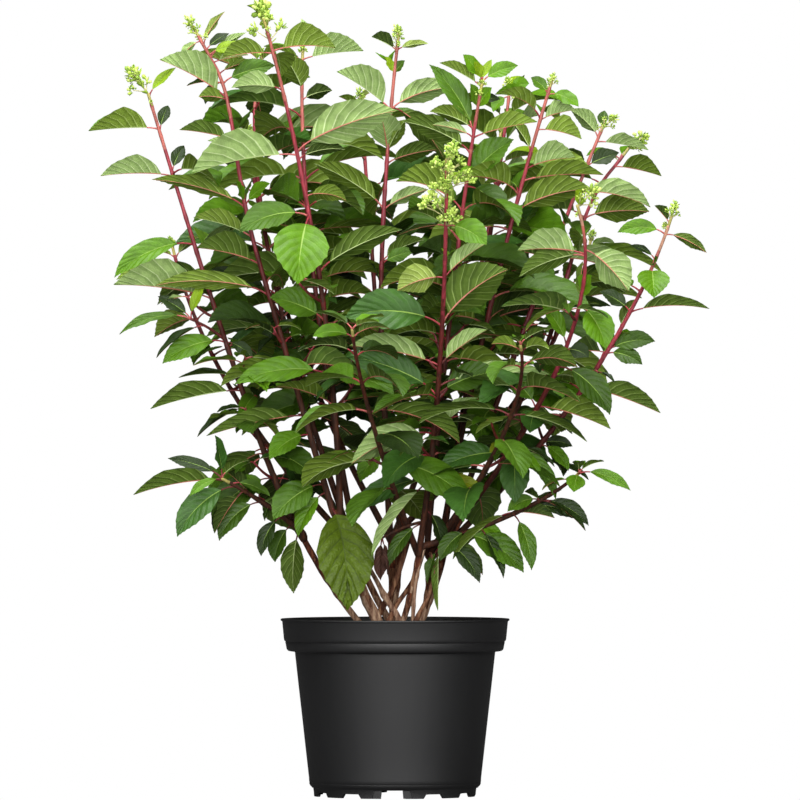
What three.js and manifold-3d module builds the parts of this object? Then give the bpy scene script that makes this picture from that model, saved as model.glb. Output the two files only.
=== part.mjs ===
// Panicle hydrangea shrub in its nursery container.
//
// A young multi-stemmed shrub stands in a round black container. Eight woody limbs rise from the
// compost, and each carries one or more long shoots. A shoot ends where it enters its own mass of
// foliage, which follows the shoot to its flower bud and swells in lobes at each pair of leaves.
//
// Millimetres, +Z up. The origin is on the ground under the container's axis. -Y is the front.

import * as THREE from "three";
import { mergeVertices } from "three/addons/utils/BufferGeometryUtils.js";
import Module from "manifold-3d";

const wasm = await Module();
wasm.setup();

// ---------------------------------------------------------------- driving dimensions

const GAP = 0.35; // clearance between neighbouring pieces

const POT = {
  height: 201,
  lipRadius: 130,
  lipHeight: 2.4,
  collarTopRadius: 128.2,
  collarStepZ: 175.2,
  collarBottomZ: 164,
  collarBottomRadius: 120.6,
  bodyTopRadius: 113.8,
  bodyBottomRadius: 97.4,
  bodyBottomZ: 20.4,
  footRadius: 93.9,
  footWall: 4,
  wall: 1.8,
  floorTop: 13,
  floorUnder: 10.6,
  sides: 30,
};
const NOTCH = { count: 12, firstDeg: -92, width: 25, taper: 4.5, shallow: 4.8, deep: 9.6, deepEvery: 3 };
const DRAIN = { count: 8, ring: 58, radius: 7 };
const COMPOST = { top: 181, edgeTop: 179 };

const LIMB_SIDES = 6;
const LIMB_STEPS = 4;
const SHOOT_SIDES = 5;
const SHOOT_STEPS = 3;
const FOLIAGE_SIDES = 8;

// Woody limbs: the foot on the compost, the fork where the shoots start, and the two radii.
const LIMBS = {
  left_outer: { foot: [-28, -4], fork: [-107, -15, 298], bow: [-10, -2], r0: 6.0, r1: 4.6 },
  left_front: { foot: [-14, -24], fork: [-66, -45, 322], bow: [-9, -3], r0: 7.4, r1: 6.4 },
  left_back: { foot: [3, 8], fork: [-51, 35, 290], bow: [-6, 4], r0: 6.4, r1: 5.2 },
  centre: { foot: [-6, 26], fork: [7, 40, 301], bow: [3, 3], r0: 6.2, r1: 5.4 },
  front: { foot: [3, -27], fork: [28, -48, 281], bow: [6, -4], r0: 5.8, r1: 5.0 },
  right_front: { foot: [25, -12], fork: [40, -22, 277], bow: [9, -2], r0: 5.6, r1: 5.2 },
  right_outer: { foot: [21, 10], fork: [58, 15, 288], bow: [8, 2], r0: 6.6, r1: 5.6 },
  back: { foot: [-2, 44], fork: [-4, 85, 295], bow: [0, 10], r0: 6.8, r1: 5.8 },
};

// Shoots: the limb each grows from, its place round that limb's fork, the points it passes half way
// and at its tip, where its leaves begin (share of its length), how its leaf pairs turn, how far
// they reach, and the height of the flower bud above the tip.
const SHOOTS = [
  { name: "left_outer", limb: "left_outer", side: [-3, 0], mid: [-176, -25, 468], tip: [-279, -45, 795], leafFrom: 0.1, phase: 178, turn: 62, reach: 98, bud: 34 },
  { name: "left_low", limb: "left_outer", side: [0, -6], mid: [-150, -45, 333], tip: [-195, -75, 360], leafFrom: 0.3, phase: 184, turn: 80, reach: 100, bud: 0 },
  { name: "left_mid", limb: "left_front", side: [-5, 3], mid: [-152, -65, 600], tip: [-230, -80, 868], leafFrom: 0.22, phase: 30, turn: 84, reach: 96, bud: 22 },
  { name: "left_tall", limb: "left_front", side: [4, -3], mid: [-87, -102, 600], tip: [-146, -172, 872], leafFrom: 0.18, phase: 188, turn: 92, reach: 108, bud: 28 },
  { name: "left_back", limb: "left_back", side: [5, 0], mid: [-95, 60, 609], tip: [-106, 100, 851], leafFrom: 0.25, phase: 20, turn: 90, reach: 92, bud: 14 },
  { name: "left_far", limb: "left_back", side: [0, 6], mid: [-148, 115, 634], tip: [-154, 190, 852], leafFrom: 0.25, phase: 115, turn: 88, reach: 96, bud: 10 },
  { name: "left_back_outer", limb: "left_back", side: [-6, 0], mid: [-207, 90, 496], tip: [-268, 150, 700], leafFrom: 0.22, phase: 150, turn: 70, reach: 92, bud: 16 },
  { name: "centre", limb: "centre", side: [0, 0], mid: [-16, 30, 540], tip: [4, 30, 866], leafFrom: 0.28, phase: 5, turn: 88, reach: 92, bud: 20 },
  { name: "front_centre", limb: "front", side: [0, -4], mid: [50, -140, 487], tip: [57, -244, 713], leafFrom: 0.2, phase: 185, turn: 84, reach: 94, bud: 44 },
  { name: "front_left", limb: "front", side: [-6, 2], mid: [-26, -168, 425], tip: [-47, -274, 524], leafFrom: 0.25, phase: 160, turn: 75, reach: 96, bud: 10 },
  { name: "right_low", limb: "front", side: [6, 1], mid: [141, -80, 324], tip: [206, -120, 366], leafFrom: 0.4, phase: 4, turn: 80, reach: 76, bud: 0 },
  { name: "right_inner", limb: "right_front", side: [-4, 4], mid: [68, -60, 595], tip: [98, -95, 805], leafFrom: 0.26, phase: 150, turn: 86, reach: 92, bud: 26 },
  { name: "right_front", limb: "right_front", side: [6, 0], mid: [188, -130, 498], tip: [202, -212, 663], leafFrom: 0.26, phase: 10, turn: 84, reach: 94, bud: 26 },
  { name: "front_right", limb: "right_front", side: [1, -6], mid: [123, -154, 414], tip: [138, -276, 507], leafFrom: 0.3, phase: 330, turn: 76, reach: 94, bud: 10 },
  { name: "right_tall", limb: "right_outer", side: [-5, -4], mid: [107, -20, 551], tip: [178, -45, 812], leafFrom: 0.26, phase: 175, turn: 88, reach: 98, bud: 18 },
  { name: "right_back", limb: "right_outer", side: [-4, 6], mid: [103, 70, 598], tip: [132, 120, 809], leafFrom: 0.26, phase: 60, turn: 90, reach: 94, bud: 20 },
  { name: "right_mid", limb: "right_outer", side: [3, 2], mid: [159, 35, 563], tip: [241, 65, 770], leafFrom: 0.26, phase: 20, turn: 86, reach: 94, bud: 20 },
  { name: "right_far", limb: "right_outer", side: [5, 8], mid: [189, 75, 541], tip: [284, 130, 740], leafFrom: 0.26, phase: 75, turn: 80, reach: 90, bud: 18 },
  { name: "right_outer", limb: "right_outer", side: [8, -4], mid: [221, -20, 474], tip: [312, -60, 655], leafFrom: 0.26, phase: 358, turn: 66, reach: 88, bud: 26 },
  { name: "back_left", limb: "back", side: [-6, 0], mid: [-122, 172, 543], tip: [-170, 240, 760], leafFrom: 0.25, phase: 110, turn: 86, reach: 88, bud: 20 },
  { name: "back_centre", limb: "back", side: [-2, 6], mid: [-23, 180, 566], tip: [-41, 256, 800], leafFrom: 0.25, phase: 85, turn: 88, reach: 88, bud: 24 },
  { name: "back_right", limb: "back", side: [4, 3], mid: [87, 180, 555], tip: [123, 246, 765], leafFrom: 0.25, phase: 60, turn: 86, reach: 80, bud: 20 },
  { name: "back_outer", limb: "back", side: [6, -3], mid: [156, 162, 474], tip: [228, 236, 638], leafFrom: 0.25, phase: 40, turn: 78, reach: 88, bud: 20 },
];
const SHOOT_R0 = 4.2;
const SHOOT_R1 = 2.4;

// A mass swells at each tier of leaves, two crossed pairs deep. Its first tier lies this far below
// the tip, and each tier has its share of the shoot's reach.
const TIER_FIRST = 30;
const TIER_STEP = 78;
const TIER_SHARE = [0.56, 1.0, 1.0, 0.97, 0.93, 0.9, 0.87, 0.84, 0.82];
const CROSS_SHARE = 0.86; // the crossed pair's reach against the first pair's
const MASS_FOOT = 20; // how far a mass reaches down its shoot below the last ring
const WAIST = 0.42; // a mass's radius between its leaves, as a share of the reach
const UNEVEN = 0.1;

// ---------------------------------------------------------------- solids

function solidOf(geometry) {
  const bare = geometry.clone();
  bare.deleteAttribute("normal");
  bare.deleteAttribute("uv");
  const merged = mergeVertices(bare, 1e-3);
  return new wasm.Manifold(
    new wasm.Mesh({
      numProp: 3,
      vertProperties: Float32Array.from(merged.attributes.position.array),
      triVerts: Uint32Array.from(merged.index.array),
    }),
  );
}

function geometryOf(solid) {
  const m = solid.getMesh();
  const v = new Float32Array(m.numVert * 3);
  for (let i = 0; i < m.numVert; i++)
    for (let k = 0; k < 3; k++) v[3 * i + k] = m.vertProperties[m.numProp * i + k];
  const g = new THREE.BufferGeometry();
  g.setAttribute("position", new THREE.BufferAttribute(v, 3));
  g.setIndex(new THREE.BufferAttribute(Uint32Array.from(m.triVerts), 1));
  return g;
}

const largest = (solid) =>
  solid.decompose().reduce((a, b) => (b.volume() > a.volume() ? b : a));

const lathe = (profile, sides) =>
  new THREE.LatheGeometry(profile.map(([r, z]) => new THREE.Vector2(r, z)), sides).rotateX(Math.PI / 2);

// A repeatable number from 0 to 1 for a pair of whole numbers.
function chance(a, b) {
  const x = Math.sin(a * 127.1 + b * 311.7 + 17.3) * 43758.5453;
  return x - Math.floor(x);
}

// A tapering limb along a curve: a cylinder whose rings are carried onto the curve.
// It stops at the share "end" of the curve.
function taperingLimb(curve, r0, r1, sides, steps, grow = 0, end = 1) {
  const g = new THREE.CylinderGeometry(1, 1, 1, sides, steps);
  const p = g.attributes.position;
  const z = new THREE.Vector3(0, 0, 1);
  const first = new THREE.Vector3(1, 0, 0);
  for (let i = 0; i < p.count; i++) {
    const t = (p.getY(i) + 0.5) * end;
    const at = curve.getPointAt(t);
    const along = t < 1e-6 && sides === LIMB_SIDES ? z : curve.getTangentAt(t);
    const side = first.clone().addScaledVector(along, -first.dot(along)).normalize();
    const other = new THREE.Vector3().crossVectors(along, side);
    const r = r0 + (r1 - r0) * t + grow;
    const v = at.addScaledVector(side, p.getX(i) * r).addScaledVector(other, -p.getZ(i) * r);
    p.setXYZ(i, v.x, v.y, v.z);
  }
  return g;
}

// A curve from a to b that passes m half way.
function through(a, m, b) {
  const control = m.clone().multiplyScalar(2).addScaledVector(a, -0.5).addScaledVector(b, -0.5);
  return new THREE.QuadraticBezierCurve3(a, control, b);
}

function limbCurve(limb) {
  const a = new THREE.Vector3(limb.foot[0], limb.foot[1], COMPOST.top + GAP);
  const b = new THREE.Vector3(...limb.fork);
  const m = a.clone().add(b).multiplyScalar(0.5);
  m.x += limb.bow[0] * 0.5;
  m.y += limb.bow[1] * 0.5;
  return through(a, m, b);
}

function shootCurve(shoot) {
  const f = LIMBS[shoot.limb].fork;
  const a = new THREE.Vector3(f[0] + shoot.side[0], f[1] + shoot.side[1], f[2] + 3);
  return through(a, new THREE.Vector3(...shoot.mid), new THREE.Vector3(...shoot.tip));
}

// The rings of a mass from its top down: centre, waist radius, reach and the way its leaves point.
function foliageRings(shoot) {
  const curve = shootCurve(shoot);
  const length = curve.getLength();
  const tip = new THREE.Vector3(...shoot.tip);
  const rings = [];
  const budRadius = shoot.bud > 0 ? 13 : 24;
  const top = tip.clone();
  top.z += Math.max(shoot.bud, 16);
  rings.push({ at: tip.clone().setZ(tip.z + 0.45 * Math.max(shoot.bud, 16)), waist: budRadius, reach: budRadius, way: 0 });
  const leafy = length * (1 - shoot.leafFrom);
  for (let k = 0, below = TIER_FIRST; below < leafy && k < TIER_SHARE.length; k++, below += TIER_STEP) {
    const reach = shoot.reach * TIER_SHARE[k];
    const way = ((shoot.phase + shoot.turn * 0.3 * k) * Math.PI) / 180;
    rings.push({ at: curve.getPointAt(1 - below / length), waist: reach * WAIST, reach, way });
    const between = below + TIER_STEP / 2;
    if (between < leafy)
      rings.push({ at: curve.getPointAt(1 - between / length), waist: reach * WAIST, reach: reach * WAIST, way: 0 });
  }
  const last = rings[rings.length - 1].at;
  let u = 0;
  while (u < 1 && curve.getPointAt(u).distanceTo(last) > MASS_FOOT) u += 0.002;
  return { top, rings, bottom: curve.getPointAt(u), entry: u, curve, length };
}

function foliage(shoot, index, grow = 0) {
  const { top, rings, bottom } = foliageRings(shoot);
  const sides = FOLIAGE_SIDES;
  const g = new THREE.SphereGeometry(1, sides, rings.length + 1);
  const p = g.attributes.position;
  for (let j = 0; j <= rings.length + 1; j++)
    for (let i = 0; i <= sides; i++) {
      const n = j * (sides + 1) + i;
      if (j === 0) {
        p.setXYZ(n, top.x, top.y, top.z + grow);
        continue;
      }
      if (j === rings.length + 1) {
        p.setXYZ(n, bottom.x, bottom.y, bottom.z - grow);
        continue;
      }
      const ring = rings[j - 1];
      const angle = (2 * Math.PI * (i % sides)) / sides + Math.PI;
      const turned = angle - ring.way;
      const lobe = Math.max(Math.cos(turned) ** 4, CROSS_SHARE * Math.sin(turned) ** 4);
      const uneven = 1 + UNEVEN * (2 * chance(index * 31 + j, i % sides) - 1);
      const r = (ring.waist + (ring.reach - ring.waist) * lobe) * uneven + grow;
      const droop = ring.reach > ring.waist * 2 ? 6 - 0.1 * r * lobe : 0;
      p.setXYZ(n, ring.at.x + r * Math.cos(angle), ring.at.y + r * Math.sin(angle), ring.at.z + droop);
    }
  return g;
}

// ---------------------------------------------------------------- container and compost

function pot() {
  const P = POT;
  const outer = [
    [P.footRadius, 0],
    [P.footRadius + 0.5, 10.5],
    [P.bodyBottomRadius, 14.6],
    [P.bodyBottomRadius, P.bodyBottomZ],
    [P.bodyTopRadius, P.collarBottomZ],
    [P.collarBottomRadius, P.collarBottomZ],
    [P.collarBottomRadius + 2.6, P.collarBottomZ + 2.8],
    [P.collarBottomRadius + 3.9, P.collarStepZ - 0.6],
    [P.collarBottomRadius + 5.1, P.collarStepZ + 0.4],
    [P.collarTopRadius, P.height - P.lipHeight],
    [P.lipRadius, P.height - P.lipHeight],
    [P.lipRadius, P.height],
  ];
  const inner = [
    [P.collarTopRadius - P.wall, P.height],
    [P.collarBottomRadius + 3.2, P.collarStepZ + 1],
    [P.collarBottomRadius - 0.2, P.collarBottomZ + 1.9],
    [P.bodyTopRadius - 1.4, P.collarBottomZ + 1.9],
    [P.bodyTopRadius - 2, P.collarBottomZ + 0.5],
    [P.bodyBottomRadius - P.wall, P.bodyBottomZ],
    [P.bodyBottomRadius - P.wall - 0.9, P.floorTop],
    [0, P.floorTop],
  ];
  const profile = [
    [0, P.floorUnder],
    [P.footRadius - P.footWall, P.floorUnder],
    [P.footRadius - P.footWall, 0],
    ...outer,
    ...inner,
  ];
  let solid = solidOf(lathe(profile, P.sides));
  for (let k = 0; k < NOTCH.count; k++) {
    const deep = k % NOTCH.deepEvery === 0;
    const h = deep ? NOTCH.deep : NOTCH.shallow;
    const half = NOTCH.width / 2;
    const shape = new THREE.Shape([
      new THREE.Vector2(-half, -1),
      new THREE.Vector2(half, -1),
      new THREE.Vector2(half - NOTCH.taper * 0.5, h),
      new THREE.Vector2(-half + NOTCH.taper * 0.5, h),
    ]);
    const prism = new THREE.ExtrudeGeometry(shape, { depth: 30, bevelEnabled: false });
    prism.translate(0, 0, -15).rotateX(Math.PI / 2).rotateZ(Math.PI / 2);
    const angle = ((NOTCH.firstDeg + (360 / NOTCH.count) * k) * Math.PI) / 180;
    prism.translate(POT.footRadius, 0, 0).rotateZ(angle);
    solid = solid.subtract(solidOf(prism));
  }
  for (let k = 0; k < DRAIN.count; k++) {
    const angle = (2 * Math.PI * (k + 0.5)) / DRAIN.count;
    const drill = new THREE.CylinderGeometry(DRAIN.radius, DRAIN.radius, 12, 8);
    drill.rotateX(Math.PI / 2).translate(DRAIN.ring * Math.cos(angle), DRAIN.ring * Math.sin(angle), P.floorTop - 1);
    solid = solid.subtract(solidOf(drill));
  }
  return solid;
}

function compost() {
  const P = POT;
  return solidOf(
    lathe(
      [
        [0, P.floorTop + GAP],
        [P.bodyBottomRadius - P.wall - 0.9 - GAP - 0.1, P.floorTop + GAP],
        [P.bodyBottomRadius - P.wall - GAP - 0.1, P.bodyBottomZ],
        [P.bodyTopRadius - 2 - GAP - 0.2, P.collarBottomZ + 0.6],
        [P.bodyTopRadius - 1.4 - GAP - 0.2, P.collarBottomZ + 1.9 + GAP],
        [P.collarBottomRadius - 0.5 - GAP, P.collarBottomZ + 1.9 + GAP],
        [P.collarBottomRadius + 2.7 - GAP, P.collarStepZ + 1],
        [P.collarBottomRadius + 3 - GAP, COMPOST.edgeTop],
        [80, COMPOST.top],
        [0, COMPOST.top],
      ],
      P.sides,
    ),
  );
}

// ---------------------------------------------------------------- assembly

const group = new THREE.Group();

function node(name, solid, colour, roughness) {
  const mesh = new THREE.Mesh(
    geometryOf(solid),
    new THREE.MeshStandardMaterial({ color: new THREE.Color(...colour), roughness, metalness: 0 }),
  );
  mesh.name = name;
  group.add(mesh);
}

node("pot", pot(), [0.05, 0.05, 0.052], 0.5);
node("compost", compost(), [0.09, 0.06, 0.04], 0.95);

const kept = []; // each woody solid, grown by the gap, that later pieces keep clear of

for (const [name, limb] of Object.entries(LIMBS)) {
  const curve = limbCurve(limb);
  let solid = solidOf(taperingLimb(curve, limb.r0, limb.r1, LIMB_SIDES, LIMB_STEPS));
  for (const other of kept) solid = solid.subtract(other);
  node("limb_" + name, largest(solid), [0.2, 0.12, 0.08], 0.8);
  kept.push(solidOf(taperingLimb(curve, limb.r0, limb.r1, LIMB_SIDES, LIMB_STEPS, GAP + 0.15)));
}

// The foliage first, so that each shoot can end where it enters its own mass.
const masses = SHOOTS.map((shoot, i) => ({
  shoot,
  solid: solidOf(foliage(shoot, i)),
}));

for (const { shoot } of masses) {
  const { curve, entry, length } = foliageRings(shoot);
  const end = entry - 1 / length;
  const build = (grow, to) => solidOf(taperingLimb(curve, SHOOT_R0, SHOOT_R1, SHOOT_SIDES, SHOOT_STEPS, grow, to));
  let solid = build(0, end);
  for (const other of kept) solid = solid.subtract(other);
  node("shoot_" + shoot.name, largest(solid), [0.45, 0.1, 0.14], 0.5);
  kept.push(build(GAP + 0.15, end + 0.5 / length));
}

// Two masses that meet are parted by a plane half way between their shoots, up to the top of the
// shorter one. wall(a, b) is the solid on b's side of it, grown by the gap towards a.
const REACH_ALL = 1600;
const zOf = (m) => [m.solid.boundingBox().min[2], m.solid.boundingBox().max[2]];
function pointAtHeight(curve, z) {
  let u = 0;
  while (u < 1 && curve.getPointAt(u).z < z) u += 0.01;
  return curve.getPointAt(Math.min(u, 1));
}
function wall(a, b) {
  const [la, ha] = zOf(a);
  const [lb, hb] = zOf(b);
  const low = Math.max(la, lb);
  const high = Math.min(ha, hb);
  const at = [low, high].map((z) => [pointAtHeight(a.curve, z), pointAtHeight(b.curve, z)]);
  const middles = at.map(([p, q]) => p.clone().add(q).multiplyScalar(0.5));
  const up = middles[1].clone().sub(middles[0]).normalize();
  const across = new THREE.Vector3();
  for (const [p, q] of at) across.add(q).sub(p);
  across.addScaledVector(up, -across.dot(up)).normalize();
  const box = new THREE.BoxGeometry(REACH_ALL, REACH_ALL, REACH_ALL);
  box.translate(0, 0, REACH_ALL / 2 - GAP / 2 - 0.1);
  box.applyQuaternion(new THREE.Quaternion().setFromUnitVectors(new THREE.Vector3(0, 0, 1), across));
  box.translate(middles[0].x, middles[0].y, middles[0].z);
  const below = new THREE.BoxGeometry(4 * REACH_ALL, 4 * REACH_ALL, REACH_ALL);
  below.translate(0, 0, high + 8 - REACH_ALL / 2);
  return solidOf(box).intersect(solidOf(below));
}

const cut = masses.map((m) => ({ ...m, curve: shootCurve(m.shoot) }));
for (let i = 0; i < cut.length; i++)
  for (let j = i + 1; j < cut.length; j++) {
    const [a, b] = [cut[i], cut[j]];
    if (a.solid.intersect(b.solid).volume() < 1) continue;
    const [forA, forB] = [wall(a, b), wall(b, a)];
    a.solid = largest(a.solid.subtract(forA));
    b.solid = largest(b.solid.subtract(forB));
  }
for (const { shoot, solid } of cut) {
  let open = solid;
  for (const other of kept) open = open.subtract(other);
  node("foliage_" + shoot.name, largest(open), [0.12, 0.3, 0.08], 0.6);
}

export default group;
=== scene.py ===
# Looks of a panicle hydrangea shrub in a black nursery container.
#
# The frame holds the container, the woody limbs, the shoots and one solid mass of foliage round each
# shoot. Here each limb and shoot gets its bark, and each mass is replaced by the pairs of leaves,
# twigs and flower buds that a seeded rule grows along its shoot. A short table poses the leaves that
# make the outline. Lengths in the tables are millimetres; everything is built in metres.

import math

import bpy
import numpy as np
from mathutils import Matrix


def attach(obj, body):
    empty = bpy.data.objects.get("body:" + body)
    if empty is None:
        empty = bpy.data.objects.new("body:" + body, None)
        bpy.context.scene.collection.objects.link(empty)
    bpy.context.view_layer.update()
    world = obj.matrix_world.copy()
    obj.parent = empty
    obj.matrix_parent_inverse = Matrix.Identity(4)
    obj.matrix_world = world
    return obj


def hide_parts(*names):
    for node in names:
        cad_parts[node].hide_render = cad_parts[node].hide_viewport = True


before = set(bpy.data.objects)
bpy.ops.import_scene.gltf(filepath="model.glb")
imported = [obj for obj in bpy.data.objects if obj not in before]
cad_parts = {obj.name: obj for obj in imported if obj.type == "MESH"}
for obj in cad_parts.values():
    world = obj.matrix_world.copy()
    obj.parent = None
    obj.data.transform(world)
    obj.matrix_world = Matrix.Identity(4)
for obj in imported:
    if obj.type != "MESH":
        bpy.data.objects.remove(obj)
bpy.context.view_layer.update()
MM = 0.001
RNG = np.random.default_rng(20417)
Z = np.array([0.0, 0.0, 1.0])

# ------------------------------------------------------------------ camera

CAM = np.array([0.0056, -9.0, 0.370])
AIM = np.array([0.0056, 0.0, 0.449])
MM_PER_PX = 1.135  # at the container's axis

cam_data = bpy.data.cameras.new("camera")
cam_data.sensor_width = 36.0
cam_data.lens = 356.8
cam_data.clip_start = 0.5
cam_data.clip_end = 60.0
camera = bpy.data.objects.new("camera", cam_data)
bpy.context.scene.collection.objects.link(camera)
from mathutils import Vector  # noqa: E402

camera.location = Vector(CAM)
camera.rotation_mode = "QUATERNION"
camera.rotation_quaternion = Vector(AIM - CAM).to_track_quat("-Z", "Y")
bpy.context.scene.camera = camera


def place(px, py, depth):
    """The point in the row frame, in mm, that lies behind a place of the 800 px view at this depth (Y, mm)."""
    x = (px - 395.1) * MM_PER_PX
    z = 902.9 - MM_PER_PX * py
    k = (9000.0 + depth) / 9000.0
    return np.array([5.6 + (x - 5.6) * k, depth, 370.0 + (z - 370.0) * k])


def seen(p):
    """Where points (mm) show in the 800 px view."""
    p = np.asarray(p, float)
    k = (9000.0 + p[..., 1]) / 9000.0
    x = 5.6 + (p[..., 0] - 5.6) / k
    z = 370.0 + (p[..., 2] - 370.0) / k
    return np.stack([x / MM_PER_PX + 395.1, (902.9 - z) / MM_PER_PX], -1)


# Where the crown stays open (middle and radius), how far it reaches left and right at each height and how
# high at each width, in the 800 px view. The branching rule keeps its leaves clear of these.
GAPS = np.array([
    (563, 549, 25), (606, 505, 24), (673, 329, 23), (702, 329, 21), (181, 417, 21), (120, 307, 20), (459, 593, 20),
    (680, 263, 20), (143, 197, 19), (705, 286, 18), (628, 417, 18), (148, 220, 18), (168, 440, 18), (238, 549, 18),
    (494, 593, 17), (100, 154, 16), (333, 615, 16), (149, 373, 16), (642, 322, 16), (121, 351, 16), (652, 373, 16),
    (617, 364, 15), (173, 92, 14), (659, 191, 14), (184, 549, 14), (624, 462, 14), (208, 549, 14), (186, 106, 13),
    (145, 306, 13), (257, 571, 13), (204, 404, 13), (158, 469, 13), (311, 592, 13), (172, 505, 12), (141, 342, 12),
    (324, 69, 12), (121, 242, 12), (417, 60, 12), (687, 223, 12), (602, 439, 12), (171, 220, 11), (659, 155, 11),
    (448, 52, 11), (168, 381, 11), (341, 84, 11), (196, 144, 11), (190, 122, 11), (205, 208, 8), (603, 231, 9),
    (507, 400, 7), (530, 404, 8), (548, 402, 7), (533, 440, 7), (481, 471, 8), (536, 484, 9), (572, 498, 11),
    (229, 398, 9), (268, 400, 8), (285, 400, 7), (287, 428, 9), (264, 441, 8), (221, 427, 9), (201, 446, 10), (262, 528, 9),
    (195, 149, 14), (236, 447, 11), (566, 439, 8), (239, 13, 9), (148, 319, 9), (322, 80, 8), (212, 208, 7),
    (632, 184, 6), (625, 240, 6), (645, 243, 8), (622, 172, 7), (643, 166, 5),
], float)
WIDTHS = np.array([
    (11, 185, 303), (33, 177, 426), (55, 122, 515), (77, 118, 562), (121, 89, 637), (165, 100, 660), (209, 148, 682),
    (253, 121, 705), (297, 114, 706), (341, 121, 690), (385, 150, 645), (429, 160, 640), (473, 150, 625), (517, 165, 600),
    (561, 256, 538), (605, 333, 440),
], float)
TOPS = np.array([
    (98, 116), (118, 57), (158, 57), (178, 18), (218, 12), (258, 2), (298, 12), (338, 36), (378, 30), (398, 22), (418, 32),
    (438, 55), (478, 52), (518, 62), (558, 70), (598, 108), (638, 130), (658, 131), (678, 197), (698, 230), (718, 300),
], float)


# ------------------------------------------------------------------ the plant's tables

LIMBS = {
    "left_outer": dict(foot=(-28, -4), fork=(-107, -15, 298), bow=(-10, -2), r0=6.0, r1=4.6),
    "left_front": dict(foot=(-14, -24), fork=(-66, -45, 322), bow=(-9, -3), r0=7.4, r1=6.4),
    "left_back": dict(foot=(3, 8), fork=(-51, 35, 290), bow=(-6, 4), r0=6.4, r1=5.2),
    "centre": dict(foot=(-6, 26), fork=(7, 40, 301), bow=(3, 3), r0=6.2, r1=5.4),
    "front": dict(foot=(3, -27), fork=(28, -48, 281), bow=(6, -4), r0=5.8, r1=5.0),
    "right_front": dict(foot=(25, -12), fork=(40, -22, 277), bow=(9, -2), r0=5.6, r1=5.2),
    "right_outer": dict(foot=(21, 10), fork=(58, 15, 288), bow=(8, 2), r0=6.6, r1=5.6),
    "back": dict(foot=(-2, 44), fork=(-4, 85, 295), bow=(0, 10), r0=6.8, r1=5.8),
}

# name, limb, side, mid, tip, phase, turn, reach, bud height
SHOOTS = [
    ("left_outer", "left_outer", (-3, 0), (-176, -25, 468), (-279, -45, 795), 178, 62, 98, 34),
    ("left_low", "left_outer", (0, -6), (-150, -45, 333), (-195, -75, 360), 184, 80, 100, 0),
    ("left_mid", "left_front", (-5, 3), (-152, -65, 600), (-230, -80, 868), 30, 84, 96, 22),
    ("left_tall", "left_front", (4, -3), (-87, -102, 600), (-146, -172, 872), 188, 92, 108, 28),
    ("left_back", "left_back", (5, 0), (-95, 60, 609), (-106, 100, 851), 20, 90, 92, 14),
    ("left_far", "left_back", (0, 6), (-148, 115, 634), (-154, 190, 852), 115, 88, 96, 10),
    ("left_back_outer", "left_back", (-6, 0), (-207, 90, 496), (-268, 150, 700), 150, 70, 92, 16),
    ("centre", "centre", (0, 0), (-16, 30, 540), (4, 30, 866), 5, 88, 92, 20),
    ("front_centre", "front", (0, -4), (50, -140, 487), (57, -244, 713), 185, 84, 94, 44),
    ("front_left", "front", (-6, 2), (-26, -168, 425), (-47, -274, 524), 160, 75, 96, 0),
    ("right_low", "front", (6, 1), (141, -80, 324), (206, -120, 366), 4, 80, 76, 0),
    ("right_inner", "right_front", (-4, 4), (68, -60, 595), (98, -95, 805), 150, 86, 92, 26),
    ("right_front", "right_front", (6, 0), (188, -130, 498), (202, -212, 663), 10, 84, 94, 26),
    ("front_right", "right_front", (1, -6), (123, -154, 414), (138, -276, 507), 330, 76, 94, 0),
    ("right_tall", "right_outer", (-5, -4), (107, -20, 551), (178, -45, 812), 175, 88, 98, 18),
    ("right_back", "right_outer", (-4, 6), (103, 70, 598), (132, 120, 809), 60, 90, 94, 20),
    ("right_mid", "right_outer", (3, 2), (159, 35, 563), (241, 65, 770), 20, 86, 94, 20),
    ("right_far", "right_outer", (5, 8), (189, 75, 541), (284, 130, 740), 75, 80, 90, 18),
    ("right_outer", "right_outer", (8, -4), (221, -20, 474), (312, -60, 655), 358, 66, 88, 26),
    ("back_left", "back", (-6, 0), (-122, 172, 543), (-170, 240, 760), 110, 86, 88, 20),
    ("back_centre", "back", (-2, 6), (-23, 180, 566), (-41, 256, 800), 85, 88, 88, 24),
    ("back_right", "back", (4, 3), (87, 180, 555), (123, 246, 765), 60, 86, 80, 20),
    ("back_outer", "back", (6, -3), (156, 162, 474), (228, 236, 638), 40, 78, 88, 20),
]
LEAFY_FROM = {"left_outer": 0.1, "left_low": 0.3, "left_tall": 0.16, "front_centre": 0.18, "right_low": 0.4}

INNER = ("centre", "left_back", "left_far", "right_back", "back_left", "back_centre", "back_right", "right_inner")

COMPOST_TOP = 181.35

# ------------------------------------------------------------------ colour and material


def lin(hexa):
    """A linear colour from a hex one."""
    c = [int(hexa[i : i + 2], 16) / 255.0 for i in (1, 3, 5)]
    return tuple(v / 12.92 if v <= 0.04045 else ((v + 0.055) / 1.055) ** 2.4 for v in c) + (1.0,)


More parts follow.
